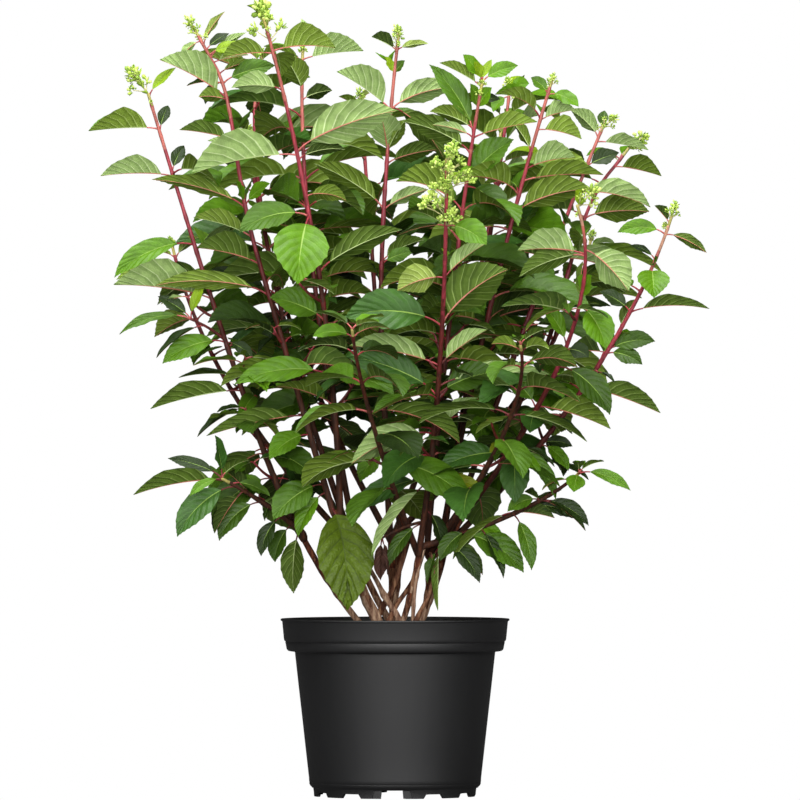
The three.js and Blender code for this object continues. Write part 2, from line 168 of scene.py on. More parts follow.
def material(name, colour, rough, spec=0.5, sheen=0.0, sheen_rough=0.5, sss=0.0, coat=0.0):
    m = bpy.data.materials.new(name)
    m.use_nodes = True
    nt = m.node_tree
    b = nt.nodes["Principled BSDF"]
    b.inputs["Base Color"].default_value = lin(colour) if isinstance(colour, str) else colour
    b.inputs["Roughness"].default_value = rough
    b.inputs["Specular IOR Level"].default_value = spec
    if sheen:
        b.inputs["Sheen Weight"].default_value = sheen
        b.inputs["Sheen Roughness"].default_value = sheen_rough
    if coat:
        b.inputs["Coat Weight"].default_value = coat
        b.inputs["Coat Roughness"].default_value = 0.35
    if sss:
        b.inputs["Subsurface Weight"].default_value = sss
        b.inputs["Subsurface Radius"].default_value = (1.0, 1.0, 0.4)
        b.inputs["Subsurface Scale"].default_value = 0.0012
    return m, nt, b


def node(nt, kind, **values):
    n = nt.nodes.new(kind)
    for k, v in values.items():
        if k in n.inputs:
            n.inputs[k].default_value = v
        else:
            setattr(n, k, v)
    return n


def bump(nt, b, height, strength, distance, under=None):
    n = node(nt, "ShaderNodeBump")
    n.inputs["Strength"].default_value = strength
    n.inputs["Distance"].default_value = distance
    nt.links.new(height, n.inputs["Height"])
    if under is not None:
        nt.links.new(under.outputs["Normal"], n.inputs["Normal"])
    nt.links.new(n.outputs["Normal"], b.inputs["Normal"])
    return n


def coords(nt):
    return node(nt, "ShaderNodeTexCoord").outputs["Object"]


def noise(nt, at, scale, detail=3.0, rough=0.55):
    n = node(nt, "ShaderNodeTexNoise")
    n.inputs["Scale"].default_value = scale
    n.inputs["Detail"].default_value = detail
    n.inputs["Roughness"].default_value = rough
    nt.links.new(at, n.inputs["Vector"])
    return n.outputs["Fac"]


def voronoi_edges(nt, at, scale):
    n = node(nt, "ShaderNodeTexVoronoi")
    n.feature = "DISTANCE_TO_EDGE"
    n.inputs["Scale"].default_value = scale
    nt.links.new(at, n.inputs["Vector"])
    return n.outputs["Distance"]


def scaled(nt, at, xyz):
    n = node(nt, "ShaderNodeMapping")
    n.inputs["Scale"].default_value = xyz
    nt.links.new(at, n.inputs["Vector"])
    return n.outputs["Vector"]


def ramp(nt, fac, stops):
    n = node(nt, "ShaderNodeValToRGB")
    e = n.color_ramp.elements
    while len(e) < len(stops):
        e.new(0.5)
    for el, (at, c) in zip(e, stops):
        el.position = at
        el.color = lin(c) if isinstance(c, str) else c
    nt.links.new(fac, n.inputs["Fac"])
    return n.outputs["Color"]


def mixed(a, b, share):
    """A linear colour between two hex ones."""
    a, b = lin(a), lin(b)
    return tuple(p + (q - p) * share for p, q in zip(a, b))


def leaf_skin(name, colour, rough, spec, net=290.0, strength=0.5, sheen=0.0, sss=0.0):
    """A leaf's surface: puckered between a net of fine veins, and slightly uneven in colour."""
    m, nt, b = material(name, colour, rough, spec, sheen=sheen, sss=sss)
    at = coords(nt)
    base = lin(colour) if isinstance(colour, str) else colour
    dim = tuple(v * 0.82 for v in base[:3]) + (1.0,)
    lit_ = tuple(min(v * 1.14, 1.0) for v in base[:3]) + (1.0,)
    nt.links.new(ramp(nt, noise(nt, at, 75.0, 3.0, 0.6), [(0.36, dim), (0.5, base), (0.66, lit_)]), b.inputs["Base Color"])
    pucker = bump(nt, b, noise(nt, at, 150.0, 2.0), strength * 0.5, 0.0012)
    bump(nt, b, voronoi_edges(nt, at, net), strength, 0.0024 if net < 200 else 0.0008, under=pucker)
    return m


# The tints a leaf can take: its top, the veins in it, its underside, the veins on that and a darker tone for the rows
# beside those veins, which is painted shade.
TINTS = [
    ("young", "#7b9a16", "#8ca729", "#8b9f4a", "#b4c67a", "#7a8c3c"),
    ("fresh", "#527c0e", "#5e861d", "#768f34", "#a0b662", "#637a24"),
    ("mid", "#446711", "#50701c", "#657c28", "#8fa552", "#536820"),
    ("deep", "#35510d", "#3e5a17", "#506722", "#788d46", "#415518"),
    # the dark tint stands partly for leaves that lie in shade: painted shade
    ("dark", "#22350c", "#2b3f13", "#384a19", "#5a6d32", "#2c3c11"),
    ("blue", "#35591c", "#3e6424", "#59732e", "#849850", "#496228"),
    ("olive", "#526713", "#3a4a0f", "#667430", "#8a964e", "#56642a"),
    ("gold", "#6c7812", "#798422", "#818f34", "#a0ac50", "#6c7a24"),
    ("pale", "#577a1d", "#64882b", "#91ab66", "#bccf94", "#7e9955"),
]
TINT = {t[0]: i for i, t in enumerate(TINTS)}
LEAF_MATS = []
for t_name, top, top_vein, under, under_vein, under_painted_shade in TINTS:
    LEAF_MATS.append(leaf_skin("leaf_" + t_name, top, 0.48, 0.24, net=170.0 if t_name == "olive" else 290.0, strength={"olive": 0.6, "young": 0.2, "fresh": 0.35}.get(t_name, 0.45)))
    LEAF_MATS.append(leaf_skin("leaf_vein_" + t_name, mixed(top, top_vein, 0.6), 0.5, 0.3, strength=0.15))
    LEAF_MATS.append(leaf_skin("leaf_under_" + t_name, under, 0.7, 0.16, strength=0.6))
    LEAF_MATS.append(leaf_skin("leaf_rib_" + t_name, mixed(under, under_vein, 0.85), 0.62, 0.2, strength=0.1))
    LEAF_MATS.append(leaf_skin("leaf_painted_shade_" + t_name, mixed(under, under_painted_shade, 0.7), 0.7, 0.16))
MIDRIB_TOP, MIDRIB_GREEN, MIDRIB_PINK = len(LEAF_MATS), len(LEAF_MATS) + 1, len(LEAF_MATS) + 2
LEAF_MATS.append(leaf_skin("leaf_midrib_top", "#7f9d42", 0.5, 0.3, strength=0.1))
LEAF_MATS.append(leaf_skin("leaf_midrib_green", "#a9bb78", 0.55, 0.35, strength=0.1))
LEAF_MATS.append(leaf_skin("leaf_midrib_pink", "#c0735f", 0.5, 0.4, strength=0.1))
DEAD_TOP, DEAD_RIB = len(LEAF_MATS), len(LEAF_MATS) + 1
LEAF_MATS.append(leaf_skin("leaf_dead", "#3a2118", 0.75, 0.25, strength=0.6))
LEAF_MATS.append(leaf_skin("leaf_dead_rib", "#55382a", 0.7, 0.25, strength=0.3))


def stem_skin(name, colour, rough, spots, strength=0.4, coat=0.0):
    """Young bark: long fine ridges and scattered raised lenticels."""
    m, nt, b = material(name, colour, rough, 0.4, coat=coat)
    at = coords(nt)
    ridges = noise(nt, scaled(nt, at, (900.0, 900.0, 60.0)), 1.0, 3.0)
    base, far = lin(colour), 0.25 + 0.9 * strength
    dim = tuple(v * (1 - 0.55 * far) for v in base[:3]) + (1.0,)
    lit_ = (min(base[0] * (1 + 0.9 * far), 1.0), min(base[1] * (1 + 0.75 * far), 1.0), min(base[2] * (1 + 0.6 * far), 1.0), 1.0)
    streaks = noise(nt, scaled(nt, at, (260.0, 260.0, 22.0)), 1.0, 3.0, 0.6)
    nt.links.new(ramp(nt, streaks, [(0.36, dim), (0.52, base), (0.7, lit_)]), b.inputs["Base Color"])
    first = bump(nt, b, ridges, strength, 0.0004)
    v = node(nt, "ShaderNodeTexVoronoi")
    v.inputs["Scale"].default_value = spots
    nt.links.new(scaled(nt, at, (1.0, 1.0, 0.45)), v.inputs["Vector"])
    dots = node(nt, "ShaderNodeMapRange")
    dots.inputs["From Min"].default_value = 0.32
    dots.inputs["From Max"].default_value = 0.12
    nt.links.new(v.outputs["Distance"], dots.inputs["Value"])
    bump(nt, b, dots.outputs["Result"], strength, 0.0005, under=first)
    return m


STEM_MATS = [
    stem_skin("stem_tip", "#a99f58", 0.5, 400.0, 0.2),
    stem_skin("stem_rose", "#ae5f56", 0.42, 330.0, 0.3),
    stem_skin("stem_pink", "#9a3743", 0.4, 300.0, 0.3),
    stem_skin("stem_red", "#7f2a35", 0.42, 280.0, 0.35),
    stem_skin("stem_wine", "#5c1c1b", 0.52, 260.0, 0.45),
    stem_skin("stem_maroon", "#4a1c10", 0.66, 240.0, 0.6),
    stem_skin("stem_russet", "#41200e", 0.74, 220.0, 0.75),
    stem_skin("stem_tan", "#6b4a33", 0.66, 200.0, 0.7),
    stem_skin("stem_cream", "#c08e76", 0.46, 360.0, 0.2),
]
S_TIP, S_ROSE, S_PINK, S_RED, S_WINE, S_MAROON, S_RUSSET, S_TAN, S_CREAM = range(9)


def bark_skin(name, colour, stops):
    """Old bark at the foot, peeling in long strips over a warmer layer."""
    m, nt, b = material(name, colour, 0.8, 0.25)
    at = coords(nt)
    strips = noise(nt, scaled(nt, at, (300.0, 300.0, 30.0)), 1.0, 4.0, 0.6)
    fine = noise(nt, scaled(nt, at, (900.0, 900.0, 200.0)), 1.0, 4.0, 0.65)
    mix = node(nt, "ShaderNodeMath")
    mix.operation = "MULTIPLY_ADD"
    mix.inputs[1].default_value = 0.35
    nt.links.new(fine, mix.inputs[0])
    nt.links.new(strips, mix.inputs[2])
    nt.links.new(ramp(nt, mix.outputs["Value"], stops), b.inputs["Base Color"])
    first = bump(nt, b, strips, 0.7, 0.0012)
    bump(nt, b, fine, 0.6, 0.0005, under=first)
    return m


BARKS = [
    bark_skin("bark_brown", "#6b4c38", [(0.44, "#24120b"), (0.58, "#4a2a1c"), (0.7, "#704a35"), (0.86, "#957052")]),
    bark_skin("bark_maroon", "#4a2a1d", [(0.44, "#180a05"), (0.6, "#3a190d"), (0.74, "#5c2c18"), (0.9, "#8a5535")]),
    bark_skin("bark_tan", "#8a694e", [(0.42, "#37231a"), (0.56, "#664838"), (0.7, "#8f705a"), (0.86, "#b3967c")]),
]

PETIOLE_MATS = [
    stem_skin("petiole_rose", "#b5605a", 0.42, 500.0, 0.15),
    stem_skin("petiole_red", "#98343c", 0.42, 500.0, 0.15),
    stem_skin("petiole_green", "#a9a860", 0.45, 500.0, 0.15),
    stem_skin("petiole_dark", "#6a2a2a", 0.48, 500.0, 0.15),
]


def bud_skin(name, colour, rough, spec=0.4):
    m, nt, b = material(name, colour, rough, spec)
    bump(nt, b, noise(nt, coords(nt), 1400.0, 2.0), 0.4, 0.0003)
    return m


BUD_MATS = [
    bud_skin("bud_light", "#cbdc7a", 0.55),
    bud_skin("bud_mid", "#aec855", 0.55),
    bud_skin("bud_green", "#85a63b", 0.55),
    bud_skin("bud_stalk", "#c2bd84", 0.55),
    bud_skin("bud_bract", "#8cab3c", 0.55),
    bud_skin("bud_brown", "#6b3a2a", 0.6),
]

# ------------------------------------------------------------------ meshes


class Pile:
    """Vertices and faces that end up as one mesh. A triangle's fourth number is -1."""

    def __init__(self):
        self.v, self.f, self.m, self.n = [], [], [], 0

    def add(self, v, f, m):
        f = np.asarray(f, np.int64)
        if f.shape[1] == 3:
            f = np.hstack([f, np.full((len(f), 1), -1)])
        self.v.append(np.asarray(v, float))
        self.f.append(np.where(f >= 0, f + self.n, -1))
        self.m.append(np.broadcast_to(np.asarray(m, np.int64), (len(f),)))
        self.n += len(v)

    def triangles(self):
        return int(sum(((f >= 0).sum(1) - 2).sum() for f in self.f))


def build(name, pile, mats, smooth=True, sharp=None):
    v, f, m = np.concatenate(pile.v), np.concatenate(pile.f), np.concatenate(pile.m)
    me = bpy.data.meshes.new(name)
    me.vertices.add(len(v))
    me.vertices.foreach_set("co", v.astype(np.float32).ravel())
    mask = f >= 0
    total = mask.sum(1)
    start = np.concatenate([[0], np.cumsum(total)[:-1]])
    me.loops.add(int(total.sum()))
    me.loops.foreach_set("vertex_index", f[mask].astype(np.int32))
    me.polygons.add(len(f))
    me.polygons.foreach_set("loop_start", start.astype(np.int32))
    me.update(calc_edges=True)
    me.polygons.foreach_set("material_index", m.astype(np.int32))
    me.polygons.foreach_set("use_smooth", np.full(len(f), smooth))
    me.update()
    me.validate()
    if sharp:
        me.set_sharp_from_angle(angle=math.radians(sharp))
    for mat in mats:
        me.materials.append(mat)
    ob = bpy.data.objects.new(name, me)
    bpy.context.scene.collection.objects.link(ob)
    return ob


def unit(v):
    v = np.asarray(v, float)
    return v / (np.linalg.norm(v) + 1e-12)


def frames_along(points):
    """Tangent and two sides at each point, carried along without twisting."""
    t = np.gradient(points, axis=0)
    t /= np.linalg.norm(t, axis=1)[:, None] + 1e-12
    ref = np.array([1.0, 0.0, 0.0]) if abs(t[0][0]) < 0.9 else np.array([0.0, 1.0, 0.0])
    side = unit(ref - t[0] * (ref @ t[0]))
    us = []
    for k in range(len(points)):
        side = unit(side - t[k] * (side @ t[k]))
        us.append(side)
    us = np.array(us)
    return t, us, np.cross(t, us)


def tube(points, radii, sides, relief=None, round_end=True, close_start=True):
    """A closed tube. relief(angle, length) scales its radius."""
    points = np.asarray(points, float)
    radii = np.asarray(radii, float)
    t, u, w = frames_along(points)
    ang = 2 * np.pi * np.arange(sides) / sides
    length = np.concatenate([[0], np.cumsum(np.linalg.norm(np.diff(points, axis=0), axis=1))])
    r = radii[:, None] * np.ones(sides)[None, :]
    if relief is not None:
        r = r * relief(ang[None, :], length[:, None])
    ring = points[:, None, :] + r[..., None] * (
        np.cos(ang)[None, :, None] * u[:, None, :] + np.sin(ang)[None, :, None] * w[:, None, :]
    )
    n = len(points)
    v = ring.reshape(-1, 3)
    i = np.arange(n - 1)[:, None]
    j = np.arange(sides)[None, :]
    a = i * sides + j
    b = i * sides + (j + 1) % sides
    f = np.stack([a, b, b + sides, a + sides], -1).reshape(-1, 4)
    row = np.repeat(np.arange(n - 1), sides)
    col = np.tile(np.arange(sides), n - 1)
    extra_v, extra_f = [], []
    first = len(v)
    js = np.arange(sides)
    extra_v.append(points[0] - t[0] * radii[0] * 0.25)
    extra_f.append(np.stack([np.full(sides, first), (js + 1) % sides, js, np.full(sides, -1)], -1))
    extra_v.append(points[-1] + t[-1] * radii[-1] * (0.7 if round_end else 0.05))
    top = (n - 1) * sides
    extra_f.append(np.stack([np.full(sides, first + 1), top + js, top + (js + 1) % sides, np.full(sides, -1)], -1))
    f = np.vstack([f] + extra_f)
    row = np.concatenate([row, np.zeros(sides, int), np.full(sides, n - 2)])
    col = np.concatenate([col, js, js])
    return np.vstack([v, np.array(extra_v)]), f, row, col


class Curve:
    """A quadratic curve from a to b that passes m half way, measured by its length."""

    def __init__(self, a, m, b, n=200):
        a, m, b = (np.asarray(p, float) for p in (a, m, b))
        c = 2 * m - 0.5 * a - 0.5 * b
        t = np.linspace(0, 1, n)[:, None]
        self.p = (1 - t) ** 2 * a + 2 * t * (1 - t) * c + t**2 * b
        self.s = np.concatenate([[0], np.cumsum(np.linalg.norm(np.diff(self.p, axis=0), axis=1))])
        self.length = self.s[-1]

    def at(self, s):
        s = np.clip(s, 0, self.length)
        return np.stack([np.interp(s, self.s, self.p[:, k]) for k in range(3)], -1)

    def way(self, s):
        e = 1.0
        return unit(self.at(min(s + e, self.length)) - self.at(max(s - e, 0.0)))

    def cut(self, share):
        """The same curve, stopped at this share of its length."""
        keep = self.s <= self.length * share
        self.p, self.s = self.p[keep], self.s[keep]
        self.length = self.s[-1]
        return self

    def bow(self, below, across):
        """Shift the curve in X by these amounts (mm) at these lengths below its end, smoothly."""
        by = np.interp(self.length - self.s, below, across)
        by = np.convolve(np.pad(by, 14, mode="edge"), np.ones(29) / 29.0, mode="valid")
        self.p = self.p + by[:, None] * np.array([1.0, 0.0, 0.0])
        return self

    def nearest(self, px, py):
        """The length at which the curve passes closest to a place of the 800 px view."""
        return self.s[np.argmin(((seen(self.p) - (px, py)) ** 2).sum(1))]


def limb_curve(limb):
    a = np.array([limb["foot"][0], limb["foot"][1], COMPOST_TOP])
    b = np.array(limb["fork"], float)
    m = (a + b) / 2 + np.array([limb["bow"][0] * 0.5, limb["bow"][1] * 0.5, 0])
    return Curve(a, m, b)


def shoot_curve(limb, side, mid, tip):
    f = LIMBS[limb]["fork"]
    return Curve((f[0] + side[0], f[1] + side[1], f[2] + 3), mid, tip)


def waves(rng, count, k_ang, k_len, amount):
    """A seeded relief: a sum of waves round and along a stem."""
    ka = rng.integers(1, k_ang + 1, count)
    kl = rng.uniform(-k_len, k_len, count)
    ph = rng.uniform(0, 2 * np.pi, count)
    am = rng.uniform(0.4, 1.0, count) * amount / math.sqrt(count)

    def f(ang, length):
        out = np.ones(np.broadcast(ang, length).shape)
        for a, l, p, m in zip(ka, kl, ph, am):
            out = out + m * np.sin(a * ang + l * length + p)
        return out

    return f


# ------------------------------------------------------------------ leaves


def margin_x(s):
    """Where the side vein that leaves the midrib at s meets the margin, as a share of the length."""
    return 1.0 - (1.0 - np.asarray(s, float) ** 0.78) ** 1.9


def outline(x):
    """Half width of the blade at x, as a share of the widest: rounded at the foot, drawn out at the tip."""
    x = np.clip(x, 0, 1)
    return np.sin(np.pi * x**0.9) ** 0.78 * (1 - x**5) ** 0.28


class LeafShape:
    """The flat pattern of a leaf: rows of vertices follow its side veins, so that each vein is a narrow
    strip of faces with raised tissue between it and the next. Two sheets share the toothed margin."""

    def __init__(self, veins, between, cols, strip=0.0085):
        s_vein = 0.05 + 0.79 * (np.arange(veins) / (veins - 1)) ** 1.04
        rows = []  # s on the midrib, s at the margin, height of the tissue, tooth, whether a vein starts here
        lead = np.linspace(0, s_vein[0] - strip, 3)[1:-1]
        for s in lead:
            rows.append((s, s, 0.5, 0.0, False))
        for n, s in enumerate(s_vein):
            rows.append((s - strip, s - strip * 0.35, 0.0, 0.5, True))
            rows.append((s + strip, s + strip * 0.35, 0.0, 0.4, False))
            end = s_vein[n + 1] - strip if n + 1 < veins else 1.0
            count = between if n + 1 < veins else between + 1
            for q in range(1, count + 1):
                share = q / (count + 1)
                at = s + strip + (end - s - strip) * share
                tooth = -0.55 if (count - q) % 2 else 0.45
                rows.append((at, at, math.sin(math.pi * share), tooth if q < count else -0.5, False))
        rows = np.array(rows, float)
        self.rows = len(rows)
        self.cols = cols
        shares = np.concatenate([[0.0, 0.034], np.linspace(0.034, 1.0, cols)[1:]])
        across = np.concatenate([-shares[:0:-1], shares])  # 2*cols+1 columns
        self.width = len(across)
        s_mid, s_out, high, tooth, _ = (rows[:, k][:, None] for k in range(5))
        a = np.abs(across)[None, :]
        s = s_mid + (s_out - s_mid) * a
        xm = margin_x(s)
        x = s_mid + (xm - s_mid) * a**1.45
        half = outline(margin_x(s_out))
        y = half * a * np.sign(across)[None, :]
        edge = (a > 0.999).astype(float)
        x = x + edge * 0.006 * tooth
        y = y * (1 + edge * 0.045 * tooth)
        self.x = np.clip(x, 0, 1)
        self.y = y
        self.high = high * np.sin(np.pi * np.clip(0.1 + 0.78 * a, 0, 1)) * (a > 0.04)
        self.edge = edge * np.ones_like(x)
        self.vein = rows[:, 4] > 0.5
        # vertex numbers: the top sheet, then the inner columns of the underside, then foot and tip
        nt_ = self.rows * self.width
        top = np.arange(nt_).reshape(self.rows, self.width)
        low = top.copy()
        low[:, 1:-1] = nt_ + np.arange(self.rows * (self.width - 2)).reshape(self.rows, self.width - 2)
        foot = nt_ + self.rows * (self.width - 2)
        tip = foot + 1
        self.count = tip + 1
        faces, kinds = [], []  # kinds: 0 top, 1 top vein, 2 underside, 3 its vein, 4 midrib top, 5 midrib under, 6 painted shade in the row beside a vein on the underside
        mid = self.width // 2
        for j in range(self.width - 1):
            rib = j in (mid - 1, mid)
            for i in range(self.rows - 1):
                v = self.vein[i]
                faces.append((top[i, j], top[i, j + 1], top[i + 1, j + 1], top[i + 1, j]))
                kinds.append(4 if rib else 1 if v else 0)
                faces.append((low[i, j], low[i + 1, j], low[i + 1, j + 1], low[i, j + 1]))
                # the underside row after each vein takes the darker tone: painted shade beside the rib
                kinds.append(5 if rib else 3 if v else 6 if i and self.vein[i - 1] else 2)
            faces.append((foot, top[0, j + 1], top[0, j], -1))
            kinds.append(4 if rib else 0)
            faces.append((foot, low[0, j], low[0, j + 1], -1))
            kinds.append(5 if rib else 2)
            faces.append((tip, top[-1, j], top[-1, j + 1], -1))
            kinds.append(4 if rib else 0)
            faces.append((tip, low[-1, j + 1], low[-1, j], -1))
            kinds.append(5 if rib else 2)
        # the order above winds the top sheet with its normal down, so turn every face over
        f = np.array(faces)
        tri = f[:, 3] < 0
        g = f.copy()
        g[~tri] = f[~tri][:, ::-1]
        g[tri, 0], g[tri, 2] = f[tri, 2], f[tri, 0]
        self.faces = g
        self.kinds = np.array(kinds)
        self.triangles = int(((self.faces >= 0).sum(1) - 2).sum())


BIG = LeafShape(8, 2, 3)
SMALL = LeafShape(6, 1, 2)
TINY = LeafShape(3, 1, 1, strip=0.012)


def turn(v, axis, angle):
    c, s = np.cos(angle), np.sin(angle)
    return v * c + np.cross(axis, v) * s + axis * np.sum(v * axis, -1, keepdims=True) * (1 - c)


def arch(foot, azimuth, reach, rise, bend, stalk=0.17, up=25.0, out=3.0, sway=0.0):
    """The line of a leaf from its stem to its tip, its direction along it and its azimuth."""
    u = np.linspace(0, 1, 41)
    e = np.radians(rise - bend * u**1.25 + up * np.clip(1 - u / (stalk + 0.06), 0, 1) ** 1.5)
    a = math.radians(azimuth) + math.radians(sway) * u**1.6
    d = np.stack([np.cos(e) * np.cos(a), np.cos(e) * np.sin(a), np.sin(e)], -1)
    mid = (d[1:] + d[:-1]) / 2
    line = np.vstack([[0, 0, 0], np.cumsum(mid * reach / 40.0, axis=0)]) + foot
    return line + d[0] * out * 0.3, d, a


def room(foot, azimuth, reach, rise, bend, sway=0.0):
    """The reach that keeps a leaf's tip inside the crown's outline."""
    for _ in range(12):
        x, y, z = arch(foot, azimuth, reach, rise, bend, sway=sway)[0][-1]
        if -349 < x < 357 and -300 < y < 306 and z < 902:
            break
        reach *= 0.92
    return reach


def keeps_clear(line, a, half, stalk=0.17):
    """Whether a blade on this line stays inside the crown's outline and out of its gaps."""
    k = np.arange(8, 41, 2)
    w = half * outline((k / 40.0 - stalk) / (1 - stalk)) * 0.8
    side = np.stack([np.sin(a[k]), -np.cos(a[k]), np.zeros(len(k))], -1) * w[:, None]
    q = seen(np.concatenate([line[k], line[k] + side, line[k] - side]))
    x, y = q[:, 0], q[:, 1]
    if (np.hypot(x[:, None] - GAPS[:, 0], y[:, None] - GAPS[:, 1]) < GAPS[:, 2] * 0.94).any():
        return False
    if (x < np.interp(y, WIDTHS[:, 0], WIDTHS[:, 1]) - 2).any() or (x > np.interp(y, WIDTHS[:, 0], WIDTHS[:, 2]) + 2).any():
        return False
    return not (y < np.interp(x, TOPS[:, 0], TOPS[:, 1]) - 2).any()


TRIES = [(0, 1, 0), (0, 0.86, 0), (24, 1, 0), (-24, 1, 0), (0, 0.9, 16), (0, 0.9, -16), (38, 0.9, 6), (-38, 0.9, 6),
         (0, 0.72, 0), (55, 0.86, 0), (-55, 0.86, 0), (24, 0.72, -14), (-24, 0.72, -14), (75, 0.8, 4), (-75, 0.8, 4), (0, 0.6, 10)]


def settle(foot, azimuth, reach, rise, bend, sway, ratio):
    """The nearest way to hold a leaf that keeps it clear: azimuth, reach and rise, or nothing."""
    for turn_by, share, lift in TRIES:
        r = room(foot, azimuth + turn_by, reach * share, rise + lift, bend, sway)
        line, _, a = arch(foot, azimuth + turn_by, r, rise + lift, bend, sway=sway)
        if keeps_clear(line, a, r * 0.83 * ratio * 0.5):
            return azimuth + turn_by, r, rise + lift
    return None


def leaf(pile, stalks, foot, azimuth, reach, rise, bend, tint, fold=40.0, curl=30.0, roll=0.0, twist=0.0,
         ratio=0.47, wave=1.0, sway=0.0, shape=None, stalk=0.17, relief=1.0, rng=None, pink=None,
         stalk_mat=None, stalk_r=1.25, up=25.0, out=3.0):
    """One leaf with its stalk. foot is on the stem (mm), azimuth in degrees in plan, reach the length from
    the stem to the leaf's tip along the arch, rise the slope at which it sets out and bend how far it
    turns down towards its tip, all in degrees."""
    shape = shape or BIG
    u = np.linspace(0, 1, 41)
    line, d, a = arch(foot, azimuth, reach, rise, bend, stalk, up, out, sway)
    # the stalk
    n_st = 5
    us = np.linspace(0, stalk, n_st)
    p = np.stack([np.interp(us, u, line[:, k]) for k in range(3)], -1)
    radii = np.linspace(stalk_r * 1.0, stalk_r * 0.72, n_st)
    radii[0] *= 1.25
    v, f, row, col = tube(p * MM, radii * MM, 6, round_end=False)
    if stalk_mat is None:
        stalk_mat = 0
    stalks.add(v, f, stalk_mat)
    # the blade
    length = reach * (1 - stalk)
    half = length * ratio * 0.5
    x = shape.x
    ub = stalk + (1 - stalk) * x
    c = np.stack([np.interp(ub, u, line[:, k]) for k in range(3)], -1)
    dd = np.stack([np.interp(ub, u, d[:, k]) for k in range(3)], -1)
    dd /= np.linalg.norm(dd, axis=-1, keepdims=True)
    ab = np.interp(ub, u, a)
    side = np.stack([np.sin(ab), -np.cos(ab), np.zeros_like(ab)], -1)
    up_ = np.cross(side, dd)
    ang = np.radians(roll + twist * x)[..., None]
    side, up_ = turn(side, dd, ang), turn(up_, dd, ang)
    yn = np.abs(shape.y)
    sg = np.sign(shape.y)
    fold_x = np.radians(fold) * (1 - 0.25 * x)
    mean = fold_x + np.radians(8) - 0.5 * np.radians(curl) * yn
    here = fold_x + np.radians(8) - np.radians(curl) * yn
    lateral = yn * half
    yl, zl = lateral * np.cos(mean), lateral * np.sin(mean)
    if rng is not None:
        ph = rng.uniform(0, 2 * np.pi, 4)
        fr = rng.uniform(1.2, 2.4, 2)
        w = np.where(sg >= 0, np.sin(2 * np.pi * fr[0] * x + ph[0]), np.sin(2 * np.pi * fr[1] * x + ph[1]))
        zl = zl + wave * w * yn**2 * (0.3 + 0.7 * np.sin(np.pi * np.clip(x, 0, 1)))
    lift = relief * 0.015 * length * shape.high
    nrm = (-np.sin(here) * sg)[..., None] * side + np.cos(here)[..., None] * up_
    pos = c + (yl * sg)[..., None] * side + zl[..., None] * up_ + lift[..., None] * nrm
    thick = 0.34 * (1 - shape.edge)
    ribs = np.zeros_like(x)
    ribs[:, shape.width // 2] = 0.55 * (1 - 0.6 * x[:, shape.width // 2])
    low = pos - (thick + ribs)[..., None] * nrm
    foot_p = np.interp(stalk, u, line[:, 0]), np.interp(stalk, u, line[:, 1]), np.interp(stalk, u, line[:, 2])
    foot_p = np.array(foot_p) + d[int(stalk * 40)] * (-0.6)
    tip_p = line[-1]
    v = np.vstack([pos.reshape(-1, 3), low[:, 1:-1].reshape(-1, 3), foot_p, tip_p]) * MM
    if pink is None:
        pink = 0.5
    under_rib = MIDRIB_PINK if pink > 0.5 else MIDRIB_GREEN
    if tint == "dead":
        lookup = np.array([DEAD_TOP, DEAD_RIB, DEAD_TOP, DEAD_RIB, DEAD_RIB, DEAD_RIB, DEAD_TOP])
    else:
        base = 5 * TINT[tint]
        lookup = np.array([base, base + 1, base + 2, base + 3, base + 1 if tint == "olive" else MIDRIB_TOP, under_rib, base + 4])
    pile.add(v, shape.faces, lookup[shape.kinds])
    return tip_p


def arch_to(foot, tip, bend, stalk_up=25.0, stalk=0.17):
    """Azimuth, reach and rise for a leaf whose stalk leaves foot and whose tip is at tip."""
    dv = np.asarray(tip, float) - np.asarray(foot, float)
    flat = math.hypot(dv[0], dv[1])
    want = math.atan2(dv[2], flat)
    u = np.linspace(0, 1, 41)
    rise = want + math.radians(bend) * 0.45
    for _ in range(12):
        e = rise - math.radians(bend) * u**1.25 + math.radians(stalk_up) * np.clip(1 - u / (stalk + 0.06), 0, 1) ** 1.5
        cx, cz = (float((f(e)[1:] + f(e)[:-1]).sum() / 80.0) for f in (np.cos, np.sin))
        rise += want - math.atan2(cz, cx)
    return math.degrees(math.atan2(dv[1], dv[0])), math.hypot(flat, dv[2]) / math.hypot(cx, cz), math.degrees(rise)


# ------------------------------------------------------------------ growth

PAIR_FIRST = 15.0
PAIR_STEP = [34, 44, 46, 43, 40, 38, 36, 35, 34, 32, 30, 30, 30, 30, 30, 30]
PAIR_SHARE = [0.42, 0.72, 0.93, 1.0, 1.0, 0.98, 0.96, 0.93, 0.9, 0.87, 0.84, 0.8, 0.78, 0.76, 0.75, 0.75]


def by_height(z, values):
    return float(np.interp(z, [290, 380, 470, 570, 700, 880], values))


def choose(rng, names, weights):
    w = np.array(weights, float)
    return names[int(rng.choice(len(names), p=w / w.sum()))]


def tint_for(rng, k, z):
    """Young leaves are yellow-green; older and lower ones are deeper, and the dark tint they take low down is partly
    painted shade.
    """
    if k <= 0:
        return choose(rng, ["young", "fresh", "pale"], [5, 3, 1])
    if k == 1:
        return choose(rng, ["young", "fresh", "pale", "mid"], [2, 5, 2, 2])
    if z > 560:
        return choose(rng, ["fresh", "mid", "pale", "deep", "blue", "young"], [4, 5, 2, 2, 1, 0.6])
    if z > 430:
        return choose(rng, ["fresh", "mid", "deep", "blue", "dark"], [2, 5, 4, 2, 2.4])
    return choose(rng, ["mid", "deep", "dark", "blue", "fresh", "gold"], [4, 4, 3.4, 2, 1.2, 0.12])


class Grown:
    def __init__(self, name):
        self.name = name
        self.leaves, self.stalks, self.stems, self.buds = Pile(), Pile(), Pile(), Pile()
        self.count = self.dropped = 0


